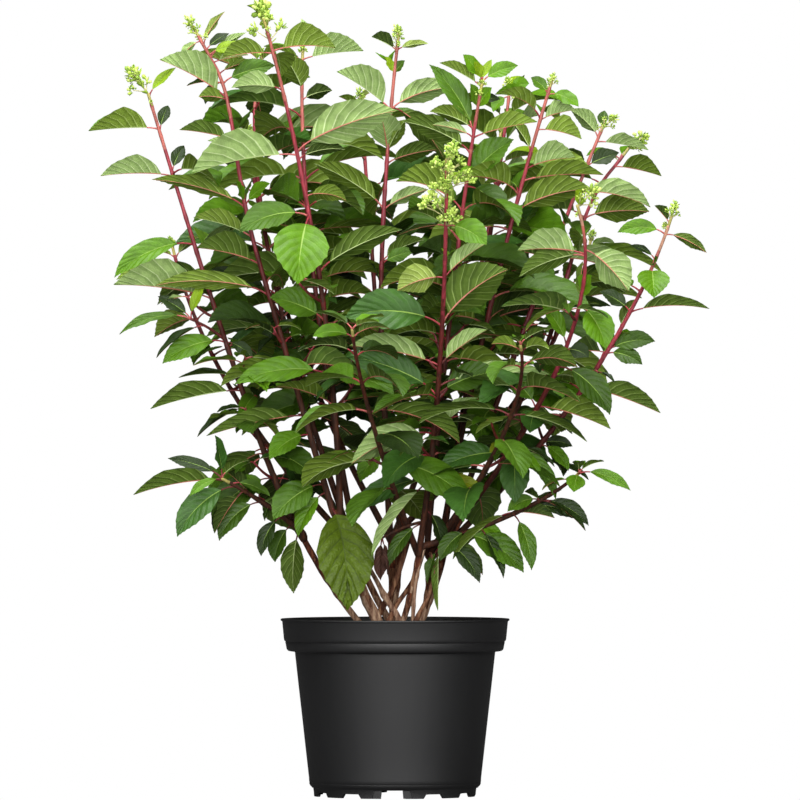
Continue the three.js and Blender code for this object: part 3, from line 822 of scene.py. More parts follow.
def ball(n=6, m=4):
    """A small closed ball of a few faces, radius 1."""
    v = [(0, 0, -1)]
    for i in range(1, m):
        th = -math.pi / 2 + math.pi * i / m
        for j in range(n):
            ph = 2 * math.pi * (j + 0.5 * (i % 2)) / n
            v.append((math.cos(th) * math.cos(ph), math.cos(th) * math.sin(ph), math.sin(th)))
    v.append((0, 0, 1))
    f = []
    for j in range(n):
        f.append((0, 1 + (j + 1) % n, 1 + j, -1))
    for i in range(m - 2):
        a0, b0 = 1 + i * n, 1 + (i + 1) * n
        for j in range(n):
            j2 = (j + 1) % n
            f.append((a0 + j, a0 + j2, b0 + j2, b0 + j))
    last, a0 = len(v) - 1, 1 + (m - 2) * n
    for j in range(n):
        f.append((last, a0 + j, a0 + (j + 1) % n, -1))
    return np.array(v, float), np.array(f)


BALL_V, BALL_F = ball(6, 4)


def basis(way):
    w = unit(way)
    ref = np.array([1.0, 0, 0]) if abs(w[0]) < 0.8 else np.array([0, 1.0, 0])
    a = unit(np.cross(w, ref))
    return a, np.cross(w, a), w


BUD_V, BUD_F = ball(5, 3)


def bract(g, at, way, inward, length, width, cup, mat):
    """A small ovate bract with a pointed tip, folded along its midrib and curved inwards."""
    w = unit(way)
    inn = unit(inward - w * float(inward @ w))
    side = np.cross(w, inn)
    v = [at, at + w * length + inn * length * cup]
    rows = ((0.1, 0.42), (0.34, 0.94), (0.6, 0.9), (0.84, 0.48))
    for u, wide in rows:
        c = at + w * length * u + inn * length * cup * u * u
        h = 0.5 * width * wide
        v += [c - side * h * 0.86 + inn * h * 0.5, c, c + side * h * 0.86 + inn * h * 0.5, c - inn * 0.34]
    f = [(0, 3, 2, -1), (0, 4, 3, -1), (0, 2, 5, -1), (0, 5, 4, -1)]
    for i in range(len(rows) - 1):
        a, b = 2 + 4 * i, 6 + 4 * i
        f += [(a, a + 1, b + 1, b), (a + 1, a + 2, b + 2, b + 1), (a, b, b + 3, a + 3), (a + 3, b + 3, b + 2, a + 2)]
    a = 2 + 4 * (len(rows) - 1)
    f += [(a, a + 1, 1, -1), (a + 1, a + 2, 1, -1), (a, 1, a + 3, -1), (a + 3, 1, a + 2, -1)]
    g.buds.add(np.array(v) * MM, np.array(f), mat)


def spray(g, at, way, r, count, rng, tall=1.2, leafy=0.3, grain=1.0):
    """A knot of small pointed buds over a dome, among bracts."""
    a, b, w = basis(way)
    for i in range(count):
        th = 2.39996 * i + rng.normal(0, 0.25)
        pol = math.acos(1 - 1.45 * (i + 0.5) / count)
        out = a * math.cos(th) + b * math.sin(th)
        d = w * math.cos(pol) * tall + out * math.sin(pol)
        c = at + d * r * rng.uniform(0.3, 1.1) + rng.normal(0, 0.1 * r, 3)
        s = max(r * rng.uniform(0.2, 0.36), 1.0) * grain
        if rng.uniform() < leafy:
            bract(g, at + d * r * 0.35, unit(d) + w * rng.uniform(0.2, 0.7), w * rng.uniform(0.2, 1.0) - out + rng.normal(0, 0.15, 3),
                  s * rng.uniform(2.3, 3.4), s * rng.uniform(1.4, 1.9), rng.uniform(0.0, 0.3), int(rng.choice([1, 1, 2, 4])))
            continue
        q1, q2, q3 = basis(unit(d) + w * rng.uniform(0.0, 0.9))
        vv = BUD_V * np.array([s, s * rng.uniform(0.7, 1.0), s * rng.uniform(1.0, 1.7)])
        vv = vv[:, :1] * q1 + vv[:, 1:2] * q2 + vv[:, 2:] * q3 + c
        g.buds.add(vv * MM, BUD_F, int(rng.choice([0, 1, 2, 4], p=[0.36, 0.36, 0.16, 0.12])))


def stalklet(g, points, r0, r1):
    v, f, _, _ = tube(np.array(points) * MM, np.linspace(r0, r1, len(points)) * MM, 5)
    g.buds.add(v, f, 3)


def bracts(g, at, way, size, count, rng, lo=9, hi=16):
    a, b, w = basis(way)
    for i in range(count):
        th = 2.39996 * i + rng.normal(0, 0.3)
        out = a * math.cos(th) + b * math.sin(th)
        length = rng.uniform(lo, hi)
        bract(g, at + w * size * rng.uniform(-0.05, 0.62), out + w * rng.uniform(0.5, 1.5), w * 0.8 - out, length, length * rng.uniform(0.42, 0.6),
              rng.uniform(-0.1, 0.25), int(rng.choice([1, 2, 4, 4])))


def flower_buds(g, at, way, size, rng, full=1.0):
    """A young flower head: a pale axis, a knot of bracts and pointed buds at its end and crossed pairs of
    smaller knots on short stalks below, among a few larger bracts."""
    at = np.asarray(at, float)
    a, b, w = basis(way)
    top = at + w * size * 0.66 + a * rng.normal(0, 0.04 * size) + b * rng.normal(0, 0.04 * size)
    stalklet(g, [at, (at + top) / 2, top], 1.2, 0.9)
    spray(g, top, w, size * 0.2 + 0.8, int(15 + 8 * full), rng, 1.5, 0.5)
    ang = rng.uniform(0, math.pi)
    for k, (h, out, r, n) in enumerate(((0.4, 0.17, 0.15, 10), (0.08, 0.32, 0.15, 10))):
        for q in range(2):
            th = ang + k * math.pi / 2 + q * math.pi + rng.normal(0, 0.2)
            d = unit((a * math.cos(th) + b * math.sin(th)) + w * 0.9)
            foot = at + w * size * h
            end = foot + d * size * out * rng.uniform(0.8, 1.25)
            stalklet(g, [foot, (foot + end) / 2, end], 0.7, 0.55)
            spray(g, end, d + w * 0.6, size * r * rng.uniform(0.85, 1.15) + 0.5, n, rng, 1.2, 0.45)
    bracts(g, at, w, size, int(6 + 5 * full), rng, min(max(0.2 * size, 6.0), 9.0), min(max(0.34 * size, 8.0), 14.0))


# The open head of the front shoot: where it starts and ends, and the middle, width and height of each knot, in px.
FRONT_HEAD = ((446, 228), (452, 149))
FRONT_KNOTS = [
    (452, 148, 12, 18), (438, 163, 15, 14), (459, 164, 12, 10), (466, 171, 9, 12), (463, 180, 15, 14), (447, 183, 16, 14),
    (431, 187, 11, 9), (432, 201, 22, 18), (456, 214, 14, 17), (425, 206, 10, 12), (455, 154, 9, 9),
]


def open_head(g, c, rng):
    """Knots of buds on forked stalks along the top of the shoot."""
    first = c.nearest(*FRONT_HEAD[0])
    axis = c.at(np.linspace(first, c.length, 12))
    end = place(*FRONT_HEAD[1], axis[-1][1])
    axis = np.vstack([axis, (axis[-1] + end) / 2, end])
    stalklet(g, axis[-4:], 1.3, 0.7)
    heights = axis[:, 2]
    for n, (x, y, wide, high) in enumerate(FRONT_KNOTS):
        here = np.interp(902.9 - MM_PER_PX * y, heights, axis[:, 1])
        mid = place(x, y, here + rng.uniform(-9, 1))
        below = max(mid[2] - 9 - 0.35 * wide, heights[0] + 1)
        root = np.array([np.interp(below, heights, axis[:, k]) for k in range(3)])
        off = mid - np.array([np.interp(mid[2], heights, axis[:, k]) for k in range(3)])
        away = max(abs(off[0]), 5.0)
        for side in (0, 1):
            to = mid if side == 0 else mid - off + np.array([off[0] * 0.1, (1 if n % 2 else -1) * away + 2, -2.0])
            elbow = root + (to - root) * 0.5 + Z * 1.0
            stalklet(g, [root, elbow, to], 0.85, 0.55)
            r = (wide + high) / 4 * MM_PER_PX * (1.0 if side == 0 else 0.85)
            parts = max(2, int(round(wide * high / 60.0)))
            for q in range(parts):
                o = rng.normal(0, 1, 3) * np.array([wide, min(wide, high), high]) * 0.2 * MM_PER_PX * (1 if parts > 1 else 0)
                stalklet(g, [elbow, (elbow + to + o) / 2, to + o - unit(to - root) * 2.0], 0.5, 0.45)
                spray(g, to + o, unit(to - root) + Z * 0.5, r / math.sqrt(parts) * 1.15, 10, rng, 1.0, 0.22, 1.32)
    for q in range(10):
        th = 2.39996 * q
        out = np.array([math.cos(th), math.sin(th), 0.0])
        ln = rng.uniform(7, 12)
        bract(g, axis[int(rng.integers(1, 12))], out + Z * rng.uniform(0.3, 1.2), Z - out, ln, ln * 0.5, 0.1, int(rng.choice([2, 4])))


def bud_in_axil(g, at, azimuth, rng, r=1.7):
    d = np.array([math.cos(math.radians(azimuth)), math.sin(math.radians(azimuth)), 1.1])
    q1, q2, q3 = basis(d)
    vv = BALL_V * np.array([r * 0.75, r * 0.75, r * 1.7])
    vv = vv[:, :1] * q1 + vv[:, 1:2] * q2 + vv[:, 2:] * q3 + at + unit(d) * r * 1.4
    g.buds.add(vv * MM, BALL_F, 5)


# shoots whose upper wood is still pale: how much younger it looks, and the length that is cream
YOUNG_WOOD = {"right_outer": (62, 44), "right_front": (40, 26), "right_mid": (30, 16), "right_far": (20, 12)}


def stem_of_shoot(g, curve, nodes, start, r0, r1, rng, shade=0, cream=0.0):
    """The shoot's stem with a swelling at each node; its colour changes from node to node."""
    lead = 0.0
    if start is not None:
        lead = np.linalg.norm(curve.p[0] - start)
    n = max(int(curve.length / 5.0), 12)
    s = np.linspace(0, curve.length, n)
    pts = curve.at(s)
    if start is not None and lead > 1:
        k = max(int(lead / 4.0), 3)
        w0 = curve.way(0)
        tt = np.linspace(0, 1, k + 1)[:-1][:, None]
        c = curve.p[0] - w0 * lead * 0.5
        pre = (1 - tt) ** 2 * start + 2 * tt * (1 - tt) * c + tt**2 * curve.p[0]
        pts = np.vstack([pre, pts])
        s = np.concatenate([np.linspace(-lead, 0, k + 1)[:-1], s])
    share = np.clip(s / curve.length, 0, 1)
    r = r0 + (r1 - r0) * share**0.85
    for q in nodes:
        r = r + 0.2 * r * np.exp(-(((s - q) / 3.4) ** 2)) - 0.035 * r * np.exp(-(((s - q - 7) / 5.0) ** 2))
    rel = waves(rng, 5, 3, 60.0, 0.05)
    v, f, row, col = tube(pts * MM, r * MM, 10, relief=rel)
    order = np.sort(np.array(nodes))
    edges = np.concatenate([[-1e9], order, [1e9]])
    seg = np.searchsorted(order, s)
    jitter = rng.normal(0, 14, len(edges) + 1)
    mats = np.zeros(len(f), int)
    patch = rng.normal(0, 1, (len(s) + 1, 5))
    d = curve.length - s
    for i in range(len(f)):
        k = row[i]
        age = 0.55 * d[k] + 0.45 * max(0.0, 850.0 - pts[k][2])
        # shade moves the bands towards darker ones as painted shade for shoots at the back and low down, and towards
        # paler ones for young wood
        x = age + 0.9 * jitter[seg[k]] + shade + 7 * patch[k // 3, col[i] // 2]
        if d[k] < 11:
            b_ = S_TIP
        elif d[k] < cream:
            b_ = S_CREAM
        elif x < 95:
            b_ = S_ROSE
        elif x < 178:
            b_ = S_PINK
        elif x < 245:
            b_ = S_RED
        elif x < 312:
            b_ = S_WINE
        elif x < 385:
            b_ = S_MAROON
        else:
            b_ = S_RUSSET
        mats[i] = b_
    g.stems.add(v, f, mats)


def twig(g, foot, azimuth, length, rise, pairs, reach, rng, tints=None, bud=0.0):
    """A short side shoot with one or two pairs of leaves and a leaf or bud at its end."""
    a = math.radians(azimuth)
    d0 = np.array([math.cos(a) * math.cos(math.radians(rise)), math.sin(a) * math.cos(math.radians(rise)), math.sin(math.radians(rise))])
    end = foot + d0 * length + Z * length * 0.12
    q = seen(end)
    if (np.hypot(q[0] - GAPS[:, 0], q[1] - GAPS[:, 1]) < GAPS[:, 2]).any():
        return
    c = Curve(foot, foot + d0 * length * 0.5 - Z * length * 0.03, end)
    n = max(int(c.length / 5), 5)
    s = np.linspace(0, c.length, n)
    r = np.linspace(1.9, 1.25, n)
    v, f, row, col = tube(c.at(s) * MM, r * MM, 7, relief=waves(rng, 3, 2, 80.0, 0.06))
    g.stems.add(v, f, np.where(row < n * 0.6, S_WINE, S_RED))
    for k in range(pairs):
        at = c.at(c.length * (1 - 0.02 - 0.52 * k / max(pairs, 1)))
        az = azimuth + (90 if k % 2 else 0) + rng.normal(0, 14) + (0 if k % 2 else 55 * rng.choice([-1, 1]) * 0.6)
        share = (0.62 if k == 0 else 0.85)
        for q in (0, 180):
            if q == 180 and k % 2 == 0:
                way = az + 115 * rng.choice([-1, 1])
            else:
                way = az + q
            rr = reach * share * rng.uniform(0.85, 1.12)
            z = at[2]
            bend, sway, ratio = rng.uniform(25, 55), rng.normal(0, 18), rng.uniform(0.42, 0.5)
            held = settle(at, way, rr, by_height(z, [-18, -6, 8, 16, 22, 30]) + rng.normal(0, 12), bend, sway, ratio)
            if held is None:
                g.dropped += 1
                continue
            way, rr, rise_ = held
            leaf(g.leaves, g.stalks, at, way, rr, rise_,
                 bend, tints or tint_for(rng, 2 + k, z), fold=rng.uniform(14, 42), curl=rng.uniform(15, 35),
                 roll=rng.normal(0, 16), twist=rng.normal(0, 16), ratio=ratio, wave=rng.uniform(0.5, 2.0),
                 sway=sway, shape=SMALL, rng=rng, pink=rng.uniform(), stalk_mat=int(rng.choice([0, 1, 3])), stalk_r=0.95)
            g.count += 1
    if bud:
        flower_buds(g, c.at(c.length), c.way(c.length), bud, rng, 0.4)


# Leaves that make the outline or show best, shoot by shoot: where the stalk leaves the stem and where the
# tip lies in the 800 px view, how the blade is held, how wide it shows (px), its tint, and how far the tip
# lies in front (-) or behind (+) of the stem in mm. Held: T shows its top, B its underside, U is folded up
# and shows the underside of its near half, E is seen nearly edge on.
POSED = {
    "left_outer": [
        ((150, 98), (176, 68), "T", 9, "young", 0),
        ((161, 127), (89, 131), "U", 18, "fresh", -8),
        ((164, 130), (168, 106), "T", 11, "dark", 30),
        ((172, 175), (101, 176), "U", 15, "pale", -6),
        ((173, 172), (184, 146), "T", 12, "dark", 24),
        ((198, 245), (115, 278), "T", 23, "fresh", -14),
        ((213, 297), (114, 285), "U", 25, "pale", -10),
        ((228, 342), (163, 364), "T", 22, "fresh", -20),
        ((228, 342), (252, 358), "T", 12, "dark", -14),
        ((237, 378), (179, 378), "E", 12, "dark", 5),
        ((242, 391), (151, 409), "U", 14, "deep", -8),
        ((252, 405), (198, 437), "E", 12, "dark", -10),
    ],
    "left_mid": [
        ((208, 42), (225, 12), "B", 9, "young", -4),
        ((203, 40), (181, 58), "B", 9, "pale", -6),
        ((215, 52), (246, 49), "T", 13, "young", -8),
        ((213, 48), (229, 34), "T", 10, "dark", 8),
        ((217, 60), (248, 55), "U", 6, "pale", -4),
        ((224, 72), (254, 61), "B", 9, "mid", 6),
        ((230, 100), (199, 97), "B", 17, "mid", -2),
        ((226, 84), (187, 86), "E", 9, "dark", 12),
        ((215, 55), (246, 33), "B", 9, "pale", 12),
        ((226, 82), (275, 66), "T", 20, "mid", -12),
        ((229, 97), (160, 60), "U", 19, "pale", -8),
        ((253, 206), (152, 180), "B", 19, "mid", 8),
        ((262, 264), (197, 248), "U", 17, "deep", -8),
        ((242, 140), (180, 130), "U", 10, "deep", 2),
        ((256, 236), (194, 218), "U", 11, "mid", 6),
        ((250, 205), (236, 182), "T", 11, "fresh", -30),
        ((250, 205), (270, 184), "T", 14, "fresh", -30),
        ((222, 82), (206, 104), "T", 12, "dark", 10),
        ((262, 297), (155, 286), "B", 19, "mid", 0),
        ((298, 418), (207, 436), "U", 12, "deep", -10),
        ((302, 437), (270, 460), "T", 22, "fresh", -30),
        ((325, 485), (274, 520), "T", 30, "mid", -30),
        ((320, 495), (299, 537), "T", 18, "fresh", -20),
        ((336, 505), (347, 610), "T", 50, "olive", -34),
    ],
    "left_tall": [
        ((278, 50), (335, 48), "U", 18, "fresh", -8),
        ((278, 52), (222, 58), "U", 12, "mid", 6),
        ((290, 90), (232, 88), "B", 25, "pale", -6),
        ((297, 154), (192, 174), "U", 24, "pale", -8),
        ((303, 150), (396, 111), "B", 41, "pale", -10),
        ((308, 217), (298, 284), "T", 48, "fresh", -52),
        ((308, 217), (240, 233), "T", 30, "mid", -20),
        ((319, 272), (402, 230), "B", 27, "deep", 6),
        ((303, 160), (345, 150), "B", 16, "dark", 26),
        ((306, 196), (346, 201), "B", 18, "mid", 24),
        ((326, 322), (270, 298), "T", 30, "mid", -24),
        ((328, 377), (235, 385), "T", 26, "fresh", -20),
    ],
    "left_back": [
        ((303, 45), (301, 19), "B", 16, "pale", 6),
        ((306, 60), (363, 51), "U", 16, "pale", 4),
        ((306, 93), (284, 57), "B", 27, "mid", -10),
        ((306, 100), (332, 91), "B", 16, "dark", 14),
    ],
    "left_far": [((263, 95), (262, 121), "B", 28, "dark", 30)],
    "centre": [
        ((397, 50), (372, 37), "U", 9, "dark", 10),
        ((397, 50), (428, 44), "B", 9, "young", -4),
        ((392, 76), (385, 57), "T", 10, "young", -6),
        ((392, 76), (405, 61), "T", 10, "deep", -4),
        ((390, 110), (337, 72), "U", 18, "pale", -4),
        ((390, 110), (455, 88), "B", 25, "pale", 4),
        ((387, 155), (380, 112), "B", 30, "pale", -26),
        ((387, 155), (406, 120), "B", 18, "mid", -10),
        ((384, 210), (314, 164), "B", 26, "mid", 4),
        ((384, 210), (428, 190), "B", 16, "pale", 10),
        ((385, 164), (437, 150), "B", 22, "deep", 16),
        ((392, 108), (443, 158), "B", 26, "deep", 14),
        ((383, 265), (415, 252), "T", 14, "mid", -10),
        ((383, 262), (424, 240), "B", 20, "deep", 12),
        ((392, 452), (361, 482), "T", 19, "fresh", -14),
        ((392, 450), (400, 477), "T", 18, "fresh", -16),
    ],
    "front_centre": [
        ((446, 226), (399, 235), "E", 10, "dark", -6),
        ((446, 226), (486, 245), "T", 25, "fresh", -20),
        ((446, 279), (398, 291), "B", 30, "young", 6),
        ((446, 279), (487, 243), "U", 9, "pale", 4),
        ((446, 327), (345, 318), "T", 39, "blue", -20),
        ((446, 327), (508, 270), "B", 45, "deep", -6),
        ((442, 365), (350, 346), "U", 15, "pale", 10),
        ((442, 365), (487, 330), "U", 10, "pale", 6),
        ((440, 388), (550, 375), "B", 21, "pale", -10),
        ((436, 397), (347, 357), "T", 30, "blue", 6),
        ((436, 397), (498, 372), "T", 28, "deep", -20),
        ((434, 434), (352, 464), "B", 30, "pale", -44),
        ((434, 434), (478, 398), "U", 9, "pale", -4),
        ((431, 481), (355, 513), "T", 22, "blue", -14),
        ((431, 481), (372, 556), "U", 9, "pale", -20),
        ((431, 481), (490, 475), "E", 12, "dark", -10),
        ((424, 510), (440, 548), "T", 17, "dark", 10),
        ((442, 486), (482, 490), "T", 15, "gold", -24),
        ((420, 523), (389, 567), "T", 14, "deep", -14),
    ],
    "right_inner": [
        ((483, 80), (463, 55), "T", 14, "fresh", -8),
        ((483, 80), (474, 62), "T", 11, "young", -14),
        ((483, 80), (492, 60), "T", 8, "young", 6),
        ((483, 80), (518, 66), "T", 15, "fresh", -8),
        ((480, 86), (440, 63), "U", 8, "mid", 0),
        ((474, 112), (470, 84), "T", 13, "fresh", -10),
        ((474, 112), (492, 88), "T", 16, "fresh", -12),
        ((475, 104), (500, 100), "T", 9, "dark", 10),
        ((466, 136), (429, 65), "T", 20, "mid", 10),
        ((466, 136), (433, 125), "B", 11, "pale", -8),
        ((465, 130), (430, 112), "B", 22, "mid", 6),
        ((464, 152), (403, 122), "B", 27, "deep", 24),
        ((466, 136), (537, 122), "U", 12, "fresh", -6),
        ((463, 185), (514, 140), "T", 30, "mid", -10),
        ((463, 185), (502, 220), "T", 28, "deep", -24),
    ],
    "right_back": [
        ((508, 92), (529, 84), "T", 19, "fresh", -10),
        ((508, 96), (494, 112), "T", 12, "fresh", -8),
    ],
    "right_tall": [
        ((543, 93), (578, 107), "T", 14, "fresh", -8),
        ((543, 93), (531, 78), "T", 12, "mid", 0),
        ((528, 126), (581, 139), "U", 22, "fresh", -6),
        ((520, 150), (512, 122), "B", 16, "mid", 16),
        ((530, 118), (575, 110), "U", 10, "pale", 10),
        ((518, 166), (575, 158), "U", 15, "pale", 12),
        ((516, 178), (603, 175), "U", 13, "mid", -8),
        ((510, 215), (592, 190), "B", 33, "mid", -6),
    ],
    "right_mid": [
        ((604, 130), (605, 111), "T", 10, "deep", 6),
        ((594, 137), (570, 110), "B", 20, "pale", 0),
        ((594, 140), (648, 150), "U", 10, "pale", -6),
        ((580, 165), (566, 150), "U", 8, "dark", 8),
        ((580, 165), (619, 153), "T", 17, "dark", 8),
    ],
    "right_far": [
        ((609, 163), (661, 176), "U", 20, "mid", -8),
        ((586, 218), (649, 212), "B", 32, "mid", 0),
    ],
    "right_front": [
        ((575, 210), (582, 190), "T", 18, "young", -12),
        ((568, 254), (518, 251), "U", 18, "pale", -6),
        ((568, 250), (628, 291), "B", 37, "pale", -4),
        ((568, 256), (520, 277), "B", 24, "deep", 10),
        ((572, 300), (583, 262), "B", 14, "deep", 8),
        ((572, 300), (592, 276), "T", 28, "fresh", -16),
        ((571, 304), (605, 349), "T", 28, "fresh", -24),
        ((560, 345), (541, 304), "T", 16, "fresh", -10),
        ((562, 350), (588, 358), "T", 16, "dark", -12),
        ((563, 368), (609, 415), "T", 25, "deep", -16),
        ((552, 383), (563, 398), "T", 11, "mid", -16),
        ((545, 411), (610, 429), "U", 15, "mid", -8),
        ((538, 412), (499, 370), "T", 22, "mid", -10),
        ((538, 412), (530, 433), "T", 22, "blue", -26),
        ((538, 418), (584, 440), "E", 12, "dark", -6),
        ((520, 450), (515, 503), "T", 26, "blue", -30),
        ((520, 450), (555, 500), "T", 14, "mid", -20),
        ((520, 450), (554, 467), "E", 10, "dark", -10),
        ((505, 455), (440, 470), "T", 28, "blue", -20),
        ((510, 447), (490, 453), "T", 13, "gold", -18),
    ],
    "right_outer": [
        ((665, 222), (655, 206), "U", 8, "dark", 6),
        ((657, 232), (618, 233), "T", 15, "fresh", -10),
        ((657, 232), (706, 253), "B", 12, "deep", -6),
        ((638, 258), (657, 262), "T", 14, "deep", -14),
        ((640, 254), (630, 246), "T", 6, "dark", -6),
        ((612, 326), (637, 300), "B", 15, "deep", 8),
        ((622, 308), (600, 292), "T", 16, "dark", 6),
        ((636, 262), (654, 298), "T", 30, "fresh", -34),
        ((622, 308), (709, 309), "U", 9, "deep", -10),
        ((602, 350), (655, 342), "T", 19, "deep", -14),
        ((602, 352), (642, 365), "T", 16, "deep", -24),
        ((602, 350), (570, 350), "U", 14, "dark", 5),
        ((586, 387), (660, 413), "U", 13, "deep", -12),
        ((541, 445), (568, 471), "T", 13, "fresh", -18),
        ((541, 445), (572, 447), "T", 12, "dark", 10),
    ],
    "right_low": [
        ((574, 468), (574, 492), "T", 22, "fresh", -18),
        ((578, 467), (630, 491), "T", 12, "fresh", -10),
        ((540, 500), (588, 526), "T", 16, "dark", -10),
        ((540, 500), (585, 531), "E", 13, "dark", -20),
        ((540, 500), (508, 512), "T", 14, "mid", -18),
        ((540, 500), (525, 492), "U", 8, "dark", 8),
        ((525, 510), (580, 522), "T", 13, "dark", -6),
        ((519, 519), (554, 518), "U", 9, "dark", -10),
        ((516, 520), (531, 570), "T", 16, "mid", -24),
        ((459, 537), (523, 573), "T", 27, "mid", -30),
        ((480, 530), (503, 578), "E", 14, "dark", -26),
        ((470, 527), (501, 533), "T", 10, "fresh", -10),
        ((450, 543), (482, 575), "B", 15, "dark", -8),
        ((442, 546), (479, 583), "T", 16, "dark", -18),
        ((470, 527), (441, 561), "T", 17, "deep", -12),
    ],
    "left_low": [
        ((222, 478), (215, 436), "T", 18, "blue", -18),
        ((222, 478), (168, 459), "T", 13, "dark", 6),
        ((222, 488), (134, 495), "U", 14, "deep", -10),
        ((222, 483), (190, 497), "T", 9, "fresh", -14),
        ((236, 487), (178, 537), "T", 27, "blue", -26),
        ((240, 497), (215, 533), "U", 12, "dark", -14),
        ((262, 502), (220, 541), "T", 20, "deep", -16),
        ((285, 482), (265, 521), "E", 12, "dark", -16),
        ((285, 462), (246, 475), "T", 13, "mid", -10),
        ((290, 506), (262, 556), "T", 15, "dark", -10),
        ((303, 512), (276, 562), "T", 19, "deep", 6),
        ((300, 530), (294, 593), "B", 23, "deep", 8),
        ((265, 470), (221, 467), "U", 8, "dark", 8),
    ],
}
# Small side shoots that show: shoot, place on it, the end's place, its depth, colour, its leaves as above.
POSED_TWIGS = [
    ("left_outer", (224, 340), (190, 319), -14, S_WINE, [
        ((190, 320), (158, 297), "T", 14, "dark", 4),
        ((190, 324), (120, 335), "T", 11, "mid", -10),
        ((190, 322), (205, 282), "T", 10, "young", -6),
        ((202, 330), (157, 358), "E", 11, "dark", -14),
    ]),
    ("front_centre", (414, 520), (382, 538), -22, S_RUSSET, [
        ((382, 539), (381, 580), "E", 9, "dead", -4),
        ((382, 539), (387, 574), "U", 6, "dead", -8),
    ]),
    ("right_front", (434, 540), (438, 552), -14, S_MAROON, [
        ((434, 546), (438, 610), "B", 15, "deep", -8),
        ((434, 548), (428, 583), "E", 10, "deep", -16),
    ]),
]
# Shoots that bow near their tops: lengths below the tip and how far they lie across there (mm).
BOWS = {
    "left_mid": ([0, 40, 85, 160, 235, 330], [-2, 18, 19, 8, 0, 0]),
    "right_far": ([0, 20, 60, 110, 180, 260], [-11, -23, -31, -27, -15, 0]),
}
# Flower heads: how far below the shoot's tip each starts and how long it is (mm), and the way it leans.
HEADS = {
    "left_outer": (1, 44, (-0.62, -0.1, 0.8)),
    "left_mid": (9, 26, (-0.62, 0.0, 1.0)),
    "left_tall": (30, 57, (-0.16, 0.0, 1.0)),
    "left_back": (4, 12, (0.0, 0.0, 1.0)),
    "left_far": (6, 12, (0.0, 0.0, 1.0)),
    "left_back_outer": (2, 14, (-0.2, 0.2, 1.0)),
    "centre": (12, 25, (0.08, 0.0, 1.0)),
    "right_inner": (6, 12, (0.1, 0.0, 1.0)),
    "right_back": (6, 20, (-0.15, 0.0, 1.0)),
    "right_tall": (9, 16, (0.3, 0.0, 1.0)),
    "right_mid": (9, 23, (0.85, -0.1, 0.75)),
    "right_far": (2, 34, (0.85, -0.3, 0.62)),
    "right_front": (2, 36, (0.68, -0.2, 0.75)),
    "right_outer": (3, 24, (0.25, 0.0, 1.0)),
}
# Old bare stems between the limbs: points in the 800 px view, depth at the ends, radius (mm), bark.
OLD_STEMS = [
    ([(402, 634), (398, 615), (387, 601), (381, 589), (376, 579), (368, 566)], -30, -44, 3.8, 2.5, 2),
    ([(384, 634), (379, 615), (372, 604), (366, 592), (361, 580)], -22, -34, 3.0, 2.5, 2),
    ([(372, 632), (381, 609), (392, 592), (398, 574), (405, 552), (409, 538)], -10, -20, 3.8, 2.8, 0),
    ([(384, 632), (396, 605), (407, 591), (416, 575), (421, 560), (425, 546)], -34, -30, 2.9, 2.3, 0),
    ([(412, 634), (413, 615), (414, 597), (417, 575), (421, 559), (425, 545)], -48, -46, 2.3, 1.8, 2),
    ([(411, 634), (418, 615), (427, 600), (433, 584), (434, 565), (430, 553)], -52, -40, 2.6, 2.0, 0),
    ([(396, 508), (405, 527), (416, 546)], -26, -34, 1.7, 1.5, 1),
    ([(456, 488), (447, 512), (438, 536)], -38, -34, 1.5, 1.4, 1),
    ([(472, 494), (460, 525), (441, 551), (432, 560)], -44, -38, 2.0, 1.9, 1),
]
HELD = {"T": (0.70, 19.0), "B": (-0.62, 26.0), "U": (-0.2, 55.0), "E": (0.08, 34.0)}


def pose(g, foot, entry, rng, thin=False):
    """A leaf from the table: the roll turns the side it shows towards the front."""
    at, tip, held, wide, tint, depth = entry
    tip_at = place(tip[0], tip[1], foot[1] + depth)
    bend = {"T": 44, "B": 28, "U": 15, "E": 30}[held] + rng.normal(0, 4)
    up_turn = 10.0 if held == "U" else 22.0
    if tip[1] < at[1] - 10:
        bend = (14 if held == "U" else 24) + rng.normal(0, 4)
    share = 0.1 if tint == "olive" else 0.19 if held == "T" else 0.16
    az, rr, rise = arch_to(foot, tip_at, bend, up_turn, stalk=share)
    _, d, a = arch(foot, az, rr, rise, bend, share, up_turn)
    dm = d[26]
    side = np.array([math.sin(a[26]), -math.cos(a[26]), 0.0])
    up = np.cross(side, dm)
    view = np.array([0.0, -1.0, 0.0])
    to_view = math.degrees(math.atan2(view @ np.cross(dm, up), view @ up))
    turn_, fold = HELD[held]
    if turn_ < 0:
        to_view = (to_view + 360.0) % 360.0 - 180.0
    roll = abs(turn_) * to_view
    length = rr * (1 - share)
    if held == "U":
        ratio = 2 * wide * MM_PER_PX / 0.74 / length
    elif held == "E":
        ratio = 0.36
    else:
        ratio = wide * MM_PER_PX / 0.86 / length
    curl = 20 if held == "U" else 30
    if tint == "dead":
        fold, curl, ratio = 64.0, 150.0, 0.42
    leaf(g.leaves, g.stalks, foot, az, rr, rise, bend, tint, fold=fold + rng.normal(0, 4), curl=curl,
         roll=roll + rng.normal(0, 4), twist=rng.normal(0, 9), ratio=float(np.clip(ratio, 0.2, 0.95)), wave=rng.uniform(0.8, 1.8),
         sway=0.0, rng=rng, pink=0.35 if held == "T" else rng.uniform(0.2, 1.0), stalk_mat=int(rng.choice([0, 1])) if foot[2] > 520 else int(rng.choice([1, 3])) if foot[2] > 360 else 3,
         stalk=share, relief=(3.0 if tint == "olive" else 1.3 if held == "T" else 1.0) * (1.15 if wide > 28 else 1.0), shape=SMALL if rr < 42 else BIG, stalk_r=0.75 + 0.45 * min(rr / 90.0, 1.0), up=up_turn)
    g.count += 1
    return az


